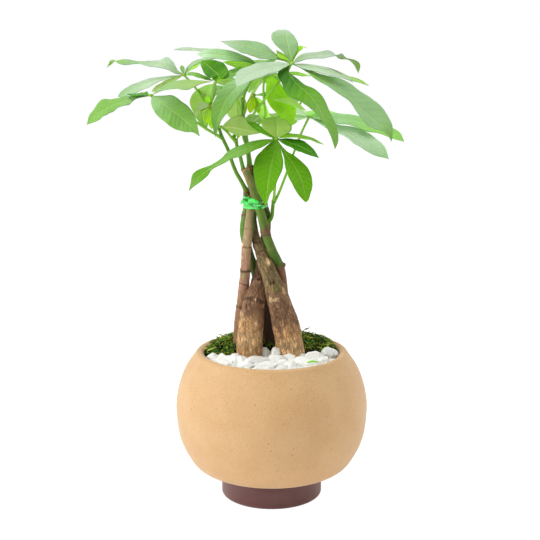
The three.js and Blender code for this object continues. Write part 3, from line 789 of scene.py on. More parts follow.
@dataclass
class Bowl:
    """The round bowl and its foot, turned smoothly."""

    turns: int = 144
    wall: float = 7 * MM
    lip_half: float = 4.2 * MM
    lip_round: float = 3.2 * MM
    foot_rim: float = 8 * MM
    foot_recess: float = 4 * MM
    foot_edge: float = 3 * MM

    def outline(self) -> list[Vector]:
        """Draw the bowl's outer line.

        Returns:
            The line from the foot to the lip.
        """
        bottom = FOOT_HEIGHT + SEAT_GAP
        knots = [
            (FOOT_RADIUS - 0.5 * MM, bottom),
            (POT_RADIUS - 19.7 * MM, bottom + 9.3 * MM),
            (POT_RADIUS - 9.6 * MM, POT_WIDEST_Z - 41 * MM),
            (POT_RADIUS - 3.1 * MM, POT_WIDEST_Z - 25 * MM),
            (POT_RADIUS, POT_WIDEST_Z),
            (POT_RADIUS - 0.6 * MM, POT_WIDEST_Z + 13 * MM),
            (POT_RADIUS - 4.1 * MM, POT_WIDEST_Z + 29 * MM),
            (POT_RADIUS - 9.8 * MM, POT_WIDEST_Z + 43 * MM),
            (POT_RADIUS - 16.5 * MM, LIP_Z - 7 * MM),
        ]
        route = Route(upright(knots))
        steps = 60
        return [route.at(k / steps) for k in range(steps + 1)]

    def lip(self) -> list[Vector]:
        """Draw the rounded lip.

        Returns:
            The line from the outside to the mouth.
        """
        centre = Vector((MOUTH_RADIUS + self.lip_half, 0, LIP_Z - self.lip_round))
        steps = 14
        turns = (between(0.2, math.pi + 0.1, k / steps) for k in range(steps + 1))
        halves = ((math.cos(a) * self.lip_half, math.sin(a) * self.lip_round) for a in turns)
        return [centre + reach for reach in upright(halves)]

    def turned(self, line: Sequence[Vector]) -> Mesh:
        """Turn a line round the Z axis.

        Args:
            line: the line, in the XZ plane.

        Returns:
            The mesh.
        """
        bm = bmesh.new()
        verts = [bmesh.ops.create_vert(bm, co=point)["vert"][0] for point in line]
        edges = [bm.edges.new(pair) for pair in zip(verts, verts[1:])]
        bmesh.ops.spin(
            bm, geom=verts + edges, cent=(0, 0, 0), axis=(0, 0, 1), dvec=(0, 0, 0),
            angle=math.tau, steps=self.turns, use_merge=True, use_duplicate=False,
        )
        bmesh.ops.remove_doubles(bm, verts=bm.verts, dist=10 * WELD)
        bmesh.ops.recalc_face_normals(bm, faces=bm.faces)
        return bm

    def build(self) -> None:
        """Build the bowl and the foot."""
        well = FOOT_RADIUS - self.foot_rim
        recess = FOOT_HEIGHT - self.foot_recess
        spigot = well - SEAT_GAP
        wall = self.wall
        inside = [
            (MOUTH_RADIUS + 4.5 * MM, LIP_Z - 7 * MM),
            (POT_RADIUS - 11 * MM - wall, POT_WIDEST_Z + 46 * MM),
            (POT_RADIUS - 3 * MM - wall, POT_WIDEST_Z + 26 * MM),
            (POT_RADIUS - wall, POT_WIDEST_Z),
            (POT_RADIUS - 7 * MM - wall, POT_WIDEST_Z - 30 * MM),
            (POT_RADIUS - 17 * MM - wall, FOOT_HEIGHT + wall + 7 * MM),
            (POT_RADIUS - 33 * MM, FOOT_HEIGHT + wall),
            (0, FOOT_HEIGHT + wall),
        ]
        below = [(0, recess + SEAT_GAP), (spigot, recess + SEAT_GAP), (spigot, FOOT_HEIGHT + SEAT_GAP)]
        bowl = self.turned([*upright(below), *self.outline(), *self.lip(), *upright(inside)])
        to_piece("pot_bowl", bowl, [PotCeramic().material()], ["pot"])

        edge = self.foot_edge
        steps = 8
        low = [(FOOT_RADIUS - edge + edge * math.sin(a), edge - edge * math.cos(a))
               for a in (math.pi / 2 * k / steps for k in range(steps + 1))]
        top = [(FOOT_RADIUS, FOOT_HEIGHT - 1 * MM), (FOOT_RADIUS - 0.3 * MM, FOOT_HEIGHT - 0.3 * MM)]
        top += [(FOOT_RADIUS - 1 * MM, FOOT_HEIGHT), (well, FOOT_HEIGHT), (well, recess)]
        foot = self.turned(upright([(0, 0), *low, *top, (0, recess)]))
        to_piece("foot_stand", foot, [FootGlaze().material()], ["foot"])


@dataclass(frozen=True)
class Stone:
    """One white pebble, seen at a place in the picture, with its size in mm."""

    at: Spot
    size: Place
    lift: float = 0
    turn: float = 0
    tint: Colour = paint(253, 253, 249)


@dataclass
class PebbleBed:
    """The white pebbles over the front of the soil."""

    centre_z: float = SOIL_Z + 8 * MM
    planes: int = 10
    golden_angle: float = 2.4
    softness: float = 34.0
    pitch: float = 6.6 * MM
    seed: int = 41
    stones: dict[str, Stone] = field(default_factory=lambda: {
        "left_end": Stone((213, 358.4), (12, 11, 8)),
        "left_second": Stone((222, 359.2), (12, 13, 9)),
        "left_third": Stone((229.4, 360.6), (10, 11, 9), 0, 0.4),
        "left_low": Stone((225, 364), (12, 9, 7)),
        "tall": Stone((235.6, 359.8), (8.5, 11, 12), 1, 0.2),
        "left_fourth": Stone((241.6, 361.6), (10, 11, 9), 0, -0.3),
        "peaked": Stone((248.3, 356.6), (10.5, 11, 12), 1, 0.5),
        "grey_behind": Stone((265, 353.4), (11, 9, 9), 3, 0, paint(238, 240, 234)),
        "big_flat": Stone((254.6, 361), (28, 13, 9), 0.5, 0.62),
        "low_flat": Stone((246, 365.8), (15, 10, 7)),
        "upright": Stone((276.2, 352.2), (9.4, 8, 8), 6.5, 0.3, paint(248, 249, 244)),
        "wide_middle": Stone((277.6, 358.6), (19, 11, 9), 1, 0.1),
        "beside_middle": Stone((290.4, 357.4), (10.5, 12, 11), 1.5, -0.2),
        "small_grey": Stone((300, 357.2), (12, 8, 9), 1, -0.2, paint(226, 228, 224)),
        "front_middle": Stone((281, 364.6), (14.5, 10, 8), 0, 0.2),
        "front_flat": Stone((267, 365.6), (15, 10, 7)),
        "front_small": Stone((291, 365.4), (9.5, 9, 8), 0, 0.6),
        "right_low": Stone((301.6, 362), (15, 10, 8), 0, -0.1),
        "right_front": Stone((312, 363.4), (12, 9, 7), 0, 0.2),
        "right_tall": Stone((314.6, 357.6), (20, 12, 12.5), 1.5, -0.15),
        "right_grey": Stone((328, 354.4), (13.5, 12, 14), 1.5, 0.3, paint(238, 240, 237)),
        "rim_small": Stone((335.4, 355), (6, 7, 7), 1, 0, paint(226, 228, 226)),
        "right_gap": Stone((323, 360), (9, 8, 7)),
    })

    def stone(
        self, body: Body, centre: Vector, size: Vector, turn: float, tint: Colour, detail: int,
        draw: random.Random,
    ) -> None:
        """Add one stone, shaped as a lump with softly worn flats.

        Args:
            body: the mesh to add to.
            centre: the stone's middle.
            size: its full size along X, Y and Z.
            turn: its turn about Z.
            tint: its colour.
            detail: how finely it is divided.
            draw: the source of its random shape.
        """
        flats = []
        start = draw.uniform(0, math.tau)
        for k in range(self.planes):
            rise = 1 - 2 * (k + 0.5) / self.planes
            flat = level(start + k * self.golden_angle) * math.sqrt(1 - rise * rise)
            jitter = Vector((draw.gauss(0, 1), draw.gauss(0, 1), draw.gauss(0, 1))) * 0.26
            flats.append((flat + Vector((0, 0, rise)) + jitter).normalized() / draw.uniform(0.72, 1.0))
        cos, sin = math.cos(turn), math.sin(turn)
        for vert in bmesh.ops.create_icosphere(body.bm, subdivisions=detail, radius=1.0)["verts"]:
            ray = vert.co.normalized()
            total = sum(max(0.0, ray.dot(flat)) ** self.softness for flat in flats)
            reach = min(1.24, total ** (-1 / self.softness)) * 0.5
            lump = Vector((ray.x * size.x, ray.y * size.y, ray.z * size.z)) * reach
            lump *= 1 + 0.05 * noise.noise(lump * 150 + centre * 900)
            vert.co = centre + Vector((lump.x * cos - lump.y * sin, lump.x * sin + lump.y * cos, lump.z))
            body.set(vert, tint, vert.co)

    def build(self) -> None:
        """Build the pebbles."""
        draw = random.Random(self.seed)
        body = Body()
        centres = []
        for stone in self.stones.values():
            centre = EYE.at_height(*stone.at, self.centre_z + stone.lift * MM)
            centres.append((centre, stone.size[0] * MM / 2))
            size = Vector(stone.size) * MM * 1.1
            turn = stone.turn + draw.uniform(-0.2, 0.2)
            self.stone(body, centre, size, turn, stone.tint, detail=4, draw=draw)
        reach = int(MOUTH_RADIUS / self.pitch) + 1
        for i in range(-reach, reach + 1):
            for j in range(-reach, 2):
                x = (i + 0.5 * (j % 2)) * self.pitch + draw.uniform(-1, 1) * MM
                y = j * self.pitch * 0.87 + draw.uniform(-1, 1) * MM
                line = -PEBBLE_LINE_DEPTH + x * math.tan(PEBBLE_LINE_SLANT)
                size = Vector([draw.uniform(8.5, 11.5), draw.uniform(8, 10), draw.uniform(6.5, 8)]) * MM
                centre = Vector((x, y, SOIL_Z + between(3.6, 5.4, draw.random()) * MM))
                if y > line or math.hypot(x, y) > MOUTH_RADIUS - 3 * MM:
                    continue
                if any((centre.xy - other.xy).length < half * 0.45 for other, half in centres):
                    continue
                white = draw.uniform(226, 246)
                turn = draw.uniform(0, 3)
                tint = paint(white, white, white - 4)
                self.stone(body, centre, size, turn, tint, detail=3, draw=draw)
        to_piece("pebble_stones", body.bm, [WhiteStone().material()], ["pebbles"])


@dataclass(frozen=True)
class Wisp:
    """A loose strand or scrap lying on top, through its places, with its thickness in mm."""

    route: tuple[Place, ...]
    thick: float
    tint: Colour

    def radius_at(self, share: float) -> float:
        """Return its radius in metres, which tapers to both ends."""
        return self.thick / 2 * MM * math.sin(math.pi * between(0.06, 0.94, share)) ** 0.7


@dataclass
class MossCushion:
    """The moss over the left, the right and the back of the soil."""

    cells: int = 84
    seed: int = 7
    doublings: int = 12
    steps: int = 5
    sides: int = 3
    shadow: Colour = paint(22, 20, 10)
    greens: tuple[Colour, ...] = (
        paint(44, 52, 14), paint(62, 84, 24), paint(118, 124, 36), paint(96, 142, 36),
        paint(82, 152, 70), paint(140, 172, 48), paint(172, 184, 60), paint(196, 206, 84),
    )

    wisps: tuple[Wisp, ...] = (
        Wisp(((303, 331, -20), (306, 328.6, -19), (309, 328.4, -18)), 1.0, paint(120, 150, 90)),
        Wisp(((305, 330.4, -19), (308.6, 328, -18), (310, 326, -18)), 0.8, paint(110, 140, 80)),
        Wisp(((207, 351.4, 18), (211, 349, 19), (216, 347.4, 19)), 1.1, paint(190, 204, 90)),
        Wisp(((306.6, 362.6, 57), (312, 361.4, 59), (318.4, 361.8, 58)), 2.0, paint(130, 214, 40)),
    )

    @staticmethod
    def height(x: float, y: float) -> float:
        """Work out the cushion's height.

        Args:
            x: the place across in metres.
            y: the place back in metres.

        Returns:
            The height in metres.
        """
        across, back = x / MM, y / MM
        dome = 1 - (math.hypot(x, y) / MOUTH_RADIUS) ** 2.4
        climb = eased(back, -PEBBLE_LINE_DEPTH / MM - 6, 14)
        hummocks = 2.2 * math.sin(across * 0.31 + 1.2) * math.cos(back * 0.27)
        hummocks += 1.5 * math.sin(across * 0.63 - back * 0.5)
        rise = min(1, 3 * dome) * (10.4 * climb + hummocks)
        hollow = bell((across - 1) / 9) * (1 - eased(back, -4, 10))
        return SOIL_Z + max(5.0, 6.2 + rise - 7 * hollow) * MM

    @staticmethod
    def behind_line(x: float, y: float) -> bool:
        """Tell whether a place is on the moss side of the line where it meets the pebbles."""
        return y > -PEBBLE_LINE_DEPTH + SEAT_GAP + x * math.tan(PEBBLE_LINE_SLANT)

    def cushion(self) -> Mesh:
        """Build the closed cushion from a grid drawn into a round.

        Returns:
            The mesh.
        """
        body = Body()
        bm = body.bm
        radius = MOUTH_RADIUS - 0.8 * MM
        made = bmesh.ops.create_grid(bm, x_segments=self.cells, y_segments=self.cells, size=1.0)["verts"]
        for vert in made:
            u, v = vert.co.x, vert.co.y
            x = u * math.sqrt(1 - v * v / 2) * radius
            y = v * math.sqrt(1 - u * u / 2) * radius
            rough = 1.6 * noise.fractal(Vector((x, y, 0)) / MM * 0.16, 1.0, 2.0, 4)
            vert.co = (x, y, self.height(x, y) + rough * MM)
            body.set(vert, blended(self.shadow, self.greens[0], 0.5 + 0.5 * rough), vert.co)
        bmesh.ops.bisect_plane(
            bm, geom=bm.verts[:] + bm.edges[:] + bm.faces[:], plane_co=(0, -PEBBLE_LINE_DEPTH + SEAT_GAP, 0),
            plane_no=(math.sin(PEBBLE_LINE_SLANT), -math.cos(PEBBLE_LINE_SLANT), 0), clear_outer=True,
        )
        rim = [edge for edge in bm.edges if edge.is_boundary]
        walls = bmesh.ops.extrude_edge_only(bm, edges=rim)["geom"]
        for vert in (item for item in walls if isinstance(item, Vert)):
            vert.co.z = SOIL_Z + SEAT_GAP
        bmesh.ops.holes_fill(bm, edges=[edge for edge in bm.edges if edge.is_boundary], sides=0)
        bmesh.ops.recalc_face_normals(bm, faces=bm.faces)
        return bm

    def strand_field(self) -> Body:
        """Build one flat strand, and double it until there are enough.

        Returns:
            The strands, all in one place.
        """
        body = Body()
        bm = body.bm
        bmesh.ops.create_grid(bm, x_segments=self.steps, y_segments=self.sides, size=0.5)
        for _ in range(self.doublings):
            bmesh.ops.duplicate(bm, geom=bm.verts[:] + bm.edges[:] + bm.faces[:])
        return body

    def curl(
        self, body: Body, strand: Sequence[Vert], root: Vector, draw: random.Random,
    ) -> None:
        """Roll one flat strand up, and bend it into a curl.

        Args:
            body: the mesh that the strand belongs to.
            strand: the points of the flat strand.
            root: where it grows from.
            draw: the source of its random shape.
        """
        heading = draw.uniform(0, math.tau)
        reach = draw.uniform(2.6, 7.0) * MM
        rise = draw.uniform(0.8, 3.6) * MM
        out = level(heading)
        bend = Vector((-out.y, out.x, 0)) * draw.uniform(-2.2, 2.2) * MM
        up = Vector((0, 0, rise))
        points = [
            root - Vector((0, 0, 1.2 * MM)),
            root + out * reach * 0.35 + up,
            root + out * reach * 0.75 + bend + up * draw.uniform(0.6, 1.2),
            root + out * reach + bend * 2 + up * draw.uniform(-0.4, 0.9),
        ]
        thick = draw.uniform(0.26, 0.6) * MM
        patch = noise.noise(root / MM * 0.11) * 1.1 + draw.gauss(-0.06, 0.6)
        tint = self.greens[int(min(0.999, max(0.0, 0.5 + 0.5 * patch)) * len(self.greens))]
        cuts = Route(points, 3).frames(self.steps, Vector((0, 0, 1)))
        for vert in strand:
            share = vert.co.x + 0.5
            angle = math.tau * (0.5 - vert.co.y)
            radius = thick * min(1.0, 3 * (1 - share)) ** 0.5 if share < 0.99 else 0
            vert.co = on_ring(cuts[round(share * self.steps)], angle, radius)
            # Painted shade and light: each strand is painted dark at the root and lighter towards its tip.
            body.set(vert, shaded(tint, between(0.1, 1.9, share)), vert.co)

    def build(self) -> None:
        """Build the cushion and the strands on it."""
        finish = MossGreen("moss_strands").material()
        to_piece("moss_cushion", self.cushion(), [finish], ["moss"])
        draw = random.Random(self.seed)
        body = self.strand_field()
        verts = list(body.bm.verts)
        size = (self.steps + 1) * (self.sides + 1)
        for first in range(0, len(verts), size):
            self.curl(body, verts[first:first + size], self.root(draw), draw)
        bmesh.ops.remove_doubles(body.bm, verts=body.bm.verts, dist=WELD)
        for wisp in self.wisps:
            def dress(vert: Vert, share: float, angle: float, radius: float) -> None:
                """Store the wisp's colour."""
                body.set(vert, wisp.tint, vert.co)

            route = Route(EYE.sights(wisp.route))
            bar(body.bm, route, lambda share, angle: wisp.radius_at(share), sides=8, steps=16, dress=dress)
        to_piece("moss_strands", body.bm, [finish])

    def root(self, draw: random.Random) -> Vector:
        """Find a free place for a strand to grow from.

        Args:
            draw: the source of its random place.

        Returns:
            The place.
        """
        while True:
            angle = draw.uniform(0, math.tau)
            radius = (MOUTH_RADIUS - 4 * MM) * math.sqrt(draw.random())
            x, y = radius * math.cos(angle), radius * math.sin(angle)
            if self.behind_line(x, y - 1.5 * MM) and not (abs(x - 2 * MM) < 9 * MM and y < 6 * MM):
                return Vector((x, y, self.height(x, y) - 0.8 * MM))


@dataclass(frozen=True)
class Ring:
    """A scar or a crease round a cane, at a height in the picture, with its size in mm."""

    down: float
    tint: Colour
    tall: float = 1.6
    rise: float = 0.35


@dataclass(frozen=True)
class Mark:
    """A patch on a cane's front, at a place in the picture, with its size in the picture."""

    at: Spot
    size: Spot
    tint: Colour
    rise: float = 0.0
    lean: float = 0.0


BROWN = paint(142, 104, 72)
TAN = paint(168, 130, 92)
DARK_BROWN = paint(92, 66, 46)
GREEN = paint(92, 120, 40)
DEEP_GREEN = paint(60, 92, 22)
MOSS_TAN = paint(116, 118, 62)
SCAR = paint(116, 84, 58)
CUT = paint(176, 132, 98)
CHIP = paint(240, 202, 152)
PITCH = paint(48, 32, 22)
SHADE_BROWN = paint(150, 113, 84)
WARM_TAN = paint(208, 160, 110)
PALE_TAN = paint(232, 190, 138)
OLIVE_TAN = paint(158, 146, 100)
GREY_TAN = paint(182, 154, 118)
ROSE_BROWN = paint(172, 132, 106)
RUST_BROWN = paint(160, 120, 90)
OLIVE_BROWN = paint(146, 124, 84)
# Brown bark darkened by painted shade, for the foot of the back cane between the front canes.
SHADED_BACK_BROWN = paint(84, 64, 50)


@dataclass(frozen=True)
class Cane:
    """One cane: places as [across, down, depth], diameters in mm, and what its bark shows.

    The bands are pairs of a height in the picture and the colour there.
    """

    route: tuple[Place, ...]
    thick: tuple[float, ...]
    bands: tuple[tuple[float, Colour], ...]
    finish: str
    furrow: float = 0.5
    rings: tuple[Ring, ...] = ()
    marks: tuple[Mark, ...] = ()

    def line(self) -> Route:
        """Lay the cane's middle line.

        Returns:
            The line from the rooted end to the cut top.
        """
        points = EYE.sights(self.route)
        root = (points[0] - points[1]).normalized() * CANE_ROOT_DEPTH + points[0]
        return Route([root, *points])

    def radius_at(self, route: Route, share: float) -> float:
        """Work out the plain radius.

        Args:
            route: the middle line.
            share: the share of its length.

        Returns:
            The radius in metres.
        """
        diameters = [self.thick[0] * 0.6, *self.thick]
        k = min(max(bisect.bisect_right(route.knots, share) - 1, 0), len(diameters) - 2)
        part = (share - route.knots[k]) / (route.knots[k + 1] - route.knots[k])
        return between(diameters[k], diameters[k + 1], eased(part, 0, 1)) / 2 * MM

    def band_tint(self, down: float) -> Colour:
        """Find the bark's colour.

        Args:
            down: the height in the picture.

        Returns:
            The colour.
        """
        before = self.bands[0]
        for band in self.bands:
            if down < band[0]:
                share = (down - before[0]) / max(band[0] - before[0], 1e-6)
                return blended(before[1], band[1], share)
            before = band
        return before[1]


CANES = {
    "cane_front_left": Cane(
        route=(
            (249.5, 357, 10), (250.5, 330, 9), (254.6, 300, 5), (258.6, 285, 0), (261.8, 266, -8),
            (263.2, 250, -10), (265.4, 235, -8), (266.2, 218, -5), (262.8, 204, -2.8), (257.6, 186, -2.4),
            (250.6, 166.5, 0),
        ),
        thick=(26, 25, 21, 16.4, 12, 10.2, 9.6, 9.2, 8.8, 8.2, 7.8),
        bands=(
            (160, CUT), (166, SCAR), (170, MOSS_TAN), (196, DEEP_GREEN), (240, MOSS_TAN), (262, SCAR),
            (285, RUST_BROWN), (312, RUST_BROWN), (326, WARM_TAN), (340, PALE_TAN), (356, WARM_TAN),
        ),
        finish="brown_bark",
        furrow=1.0,
        rings=(Ring(302, DARK_BROWN, 2.6, 0.3),),
        marks=(
            Mark((242, 318), (2, 7), CHIP, 0.5, 0.2), Mark((256, 325), (1.6, 6), CHIP, 0.6, -0.2),
            Mark((259, 333), (1.2, 5), CHIP, 0.4, -0.1), Mark((258, 283), (2.4, 2), PITCH, -0.2),
            Mark((255, 302), (1.2, 2), CHIP, 0.3), Mark((246, 309), (1.0, 4), DARK_BROWN, -0.2),
        ),
    ),
    "cane_front_right": Cane(
        route=(
            (291, 357, 10), (287, 330, 10), (278.4, 300, 10), (268, 270, 10), (258.6, 247, 3.5),
            (254.6, 234, -4), (252.2, 218, -10.5), (253, 204, -12), (254.6, 192, -14),
        ),
        thick=(28, 27, 22, 15.6, 9.6, 8.8, 8.6, 8.6, 8),
        bands=(
            (200, DEEP_GREEN), (225, MOSS_TAN), (236, OLIVE_BROWN), (246, OLIVE_BROWN), (262, OLIVE_BROWN),
            (284, OLIVE_BROWN), (296, SHADE_BROWN), (322, SHADE_BROWN), (334, WARM_TAN), (348, PALE_TAN),
        ),
        finish="brown_bark",
        furrow=1.0,
        rings=(Ring(245, SCAR, 2.0, 0.4), Ring(254, SCAR, 1.4, 0.2)),
        marks=(
            Mark((269, 264), (2.6, 4.6), CHIP, 0.5, 0.3), Mark((272.5, 283), (3.4, 2.2), PITCH, -0.4),
            Mark((276, 289), (4.6, 4.2), MOSS_TAN, 0.5), Mark((270, 297), (2.2, 4.4), CHIP, 0.4, 0.2),
            Mark((276, 299), (4.2, 2.6), CHIP, 0.4), Mark((284, 293), (1.6, 5), CHIP, 0.2, 0.3),
            Mark((279, 276), (1.4, 4), BROWN, 0.3, 0.3),
        ),
    ),
    "cane_green": Cane(
        route=(
            (290, 357, -16), (288, 325, -14), (284, 298, -9), (280, 268, 1.6), (271.8, 250, 11),
            (266, 234, 12.5), (261.4, 215, 10.5), (257.8, 203, 9), (252, 186, 9), (244.8, 168.2, 9),
        ),
        thick=(11, 10.5, 9.6, 9.2, 9, 8.8, 8.6, 8.6, 7.8, 7.4),
        bands=(
            (164, CUT), (168, SCAR), (171, MOSS_TAN), (185, MOSS_TAN), (200, GREEN), (226, GREEN),
            (230, SCAR), (236, SCAR), (238, GREEN), (262, DEEP_GREEN), (268, SCAR), (300, BROWN),
        ),
        finish="green_bark",
        furrow=0.35,
        rings=(
            Ring(232, SCAR, 2.6, 0.5), Ring(235.4, DARK_BROWN, 1.0, 0.3), Ring(266, SCAR, 2.0, 0.7),
            Ring(170, CUT, 1.6, 0.5), Ring(248, MOSS_TAN, 1.0, 0.1),
        ),
        marks=(Mark((284, 266), (2.2, 2), SCAR, 1.1), Mark((246, 178), (1.6, 4), TAN, 0.1)),
    ),
    "cane_pale": Cane(
        route=(
            (239, 357, -12), (240, 325, -9), (242.6, 298, -6), (245.4, 270, 3), (246.6, 247, 6),
            (249.4, 224, 5.5), (251, 204, 2.6), (250.8, 195.5, 2),
        ),
        thick=(13, 12, 10.6, 9.8, 9.4, 8.8, 8.2, 7),
        bands=(
            (200, MOSS_TAN), (210, OLIVE_TAN), (228, GREY_TAN), (240, GREY_TAN), (262, ROSE_BROWN),
            (285, ROSE_BROWN), (305, RUST_BROWN), (330, RUST_BROWN),
        ),
        finish="pale_bark",
        furrow=0.35,
        rings=(
            Ring(270.5, PITCH, 1.8, 0.5), Ring(247, SCAR, 1.2, 0.3), Ring(229, TAN, 1.0, 0.3),
            Ring(307, SCAR, 1.6, 0.3), Ring(283, DARK_BROWN, 1.0, 0.2),
        ),
        marks=(
            Mark((243, 274), (3.0, 1.2), paint(110, 150, 70), 0.1),
            Mark((242.5, 245), (1.6, 2.4), CHIP, 0.4),
            Mark((253.4, 224), (1.8, 16), paint(98, 126, 56), 0.0, -0.1),
        ),
    ),
    "cane_back": Cane(
        route=(
            (270, 357, -15), (268, 325, -15), (263, 298, -17), (255.4, 272, -17), (248.6, 252, -11),
            (244.2, 232, -6), (245.6, 217, -5.5), (248, 204, -5.8), (246.8, 188, -5.4),
        ),
        thick=(15, 14, 11, 9.2, 8.8, 8.6, 8.4, 8.4, 7.6),
        bands=(
            (190, MOSS_TAN), (200, GREEN), (213, GREEN), (216, SCAR), (219, paint(98, 142, 54)),
            # From about 262 down the bark is painted darker and darker, to a shaded brown at the foot:
            # painted shade where the back cane runs between the front canes, over its brown bark.
            (240, paint(90, 132, 48)), (262, DEEP_GREEN), (285, paint(50, 60, 24)), (300, SHADED_BACK_BROWN),
        ),
        finish="green_bark",
        furrow=0.3,
        rings=(Ring(215.5, SCAR, 2.0, 0.4), Ring(193, SCAR, 1.4, 0.3)),
    ),
}


@dataclass
class CaneBark:
    """Builds the canes with their furrows, scars and chips."""

    finishes: dict[str, Bark] = field(default_factory=lambda: {
        "brown_bark": Bark("brown_bark", furrow=1.0, streak=1.5, rough=0.85),
        "pale_bark": Bark("pale_bark", furrow=0.4, streak=0.9, rough=0.78),
        "green_bark": Bark("green_bark", furrow=0.2, streak=0.8, rough=0.62),
    })
    thick_from: float = 20
    sides: tuple[int, int] = (40, 72)
    steps: tuple[int, int] = (210, 260)
    made: dict[str, Material] = field(default_factory=dict)

    def surface(self, cane: Cane, route: Route, share: float, angle: float) -> tuple[float, Colour]:
        """Work out the radius and the colour at a place on a cane.

        Args:
            cane: the cane.
            route: its middle line.
            share: the share of its length.
            angle: the angle round it, from the back.

        Returns:
            The radius in metres and the bark's colour.
        """
        plain = cane.radius_at(route, share)
        centre = route.at(share)
        grain = level(angle) * plain / MM
        grain.z = share * route.length / MM
        slow = noise.fractal(Vector((grain.x * 0.14, grain.y * 0.14, grain.z * 0.06)), 1.0, 2.0, 3)
        fast = noise.fractal(Vector((grain.x * 0.6, grain.y * 0.6, grain.z * 0.3)), 1.0, 2.0, 4)
        rise = cane.furrow * (0.6 * slow + 0.36 * fast) + 0.12 * noise.noise(grain * 0.5)
        front = centre + Vector((-math.sin(angle), math.cos(angle), 0)) * plain
        across, down = EYE.seen(front)
        wobble = 1.6 * noise.noise(grain * 0.3) + 0.8 * math.sin(angle * 2 + down * 0.3)
        flame = 9 * noise.fractal(Vector((grain.x * 0.3, grain.y * 0.3, grain.z * 0.07)), 1.0, 2.0, 3)
        tint = shaded(cane.band_tint(down + wobble * 1.6 + flame * cane.furrow), 1 + 0.2 * slow)
        for ring in cane.rings:
            away = abs(down + wobble * 0.5 - ring.down)
            near = 1 - eased(away, ring.tall * 0.35, ring.tall)
            rise += ring.rise * near
            tint = blended(tint, ring.tint, 0.85 * near)
        if math.cos(angle) < 0.2:
            for mark in cane.marks:
                dx = across - mark.at[0] - mark.lean * (down - mark.at[1])
                dy = down - mark.at[1]
                away = math.hypot(dx / mark.size[0], dy / mark.size[1]) + 0.25 * fast
                near = 1 - eased(away, 0.55, 1.0)
                rise += mark.rise * near
                tint = blended(tint, mark.tint, 0.9 * near)
        return plain + rise * MM, tint

    def build(self) -> None:
        """Build the five canes."""
        for name, cane in CANES.items():
            body = Body()
            route = cane.line()
            thick = max(cane.thick) > self.thick_from
            sides, steps = self.sides[thick], self.steps[thick]
            memo: dict[tuple[int, int], tuple[float, Colour]] = {}

            def read(share: float, angle: float) -> tuple[float, Colour]:
                """Work out a place once, and keep it for the second use.

                Args:
                    share: the share of the length.
                    angle: the angle round it.

                Returns:
                    The radius and the colour.
                """
                key = (round(share * steps), round(angle * sides / math.tau) % sides)
                if key not in memo:
                    memo[key] = self.surface(cane, route, share, key[1] * math.tau / sides)
                return memo[key]

            def dress(vert: Vert, share: float, angle: float, radius: float) -> None:
                """Store the bark's colour and its straightened place."""
                grain = straight(route, share, angle, cane.radius_at(route, share))
                body.set(vert, read(share, angle)[1], grain)

            bar(body.bm, route, lambda share, angle: read(share, angle)[0], sides, steps, dress)
            self.cut_top(body, route)
            if cane.finish not in self.made:
                self.made[cane.finish] = self.finishes[cane.finish].material()
            slot = "green_bark" if cane.finish == "green_bark" else "bark"
            to_piece(f"{name}_bark", body.bm, [self.made[cane.finish]], [name])

    @staticmethod
    def cut_top(body: Body, route: Route) -> None:
        """Give the sawn top a raised rim round a sunk heart.

        Args:
            body: the cane's mesh.
            route: its middle line.
        """
        ends = (face for face in body.bm.faces if len(face.verts) > 4)
        top = min(ends, key=lambda face: (face.calc_center_median() - route.at(1)).length)
        for wide, deep in ((0.9 * MM, 0.1 * MM), (0.7 * MM, -0.6 * MM)):
            bmesh.ops.inset_region(body.bm, faces=[top], thickness=wide, depth=deep, use_even_offset=True)
        for vert in top.verts:
            vert[body.tint] = SCAR


@dataclass(frozen=True)
class Turn:
    """One turn of the ribbon: its height in the picture, tilt, width and slack in mm."""

    down: float
    tilt: float
    tall: float
    slack: float
    seed: float


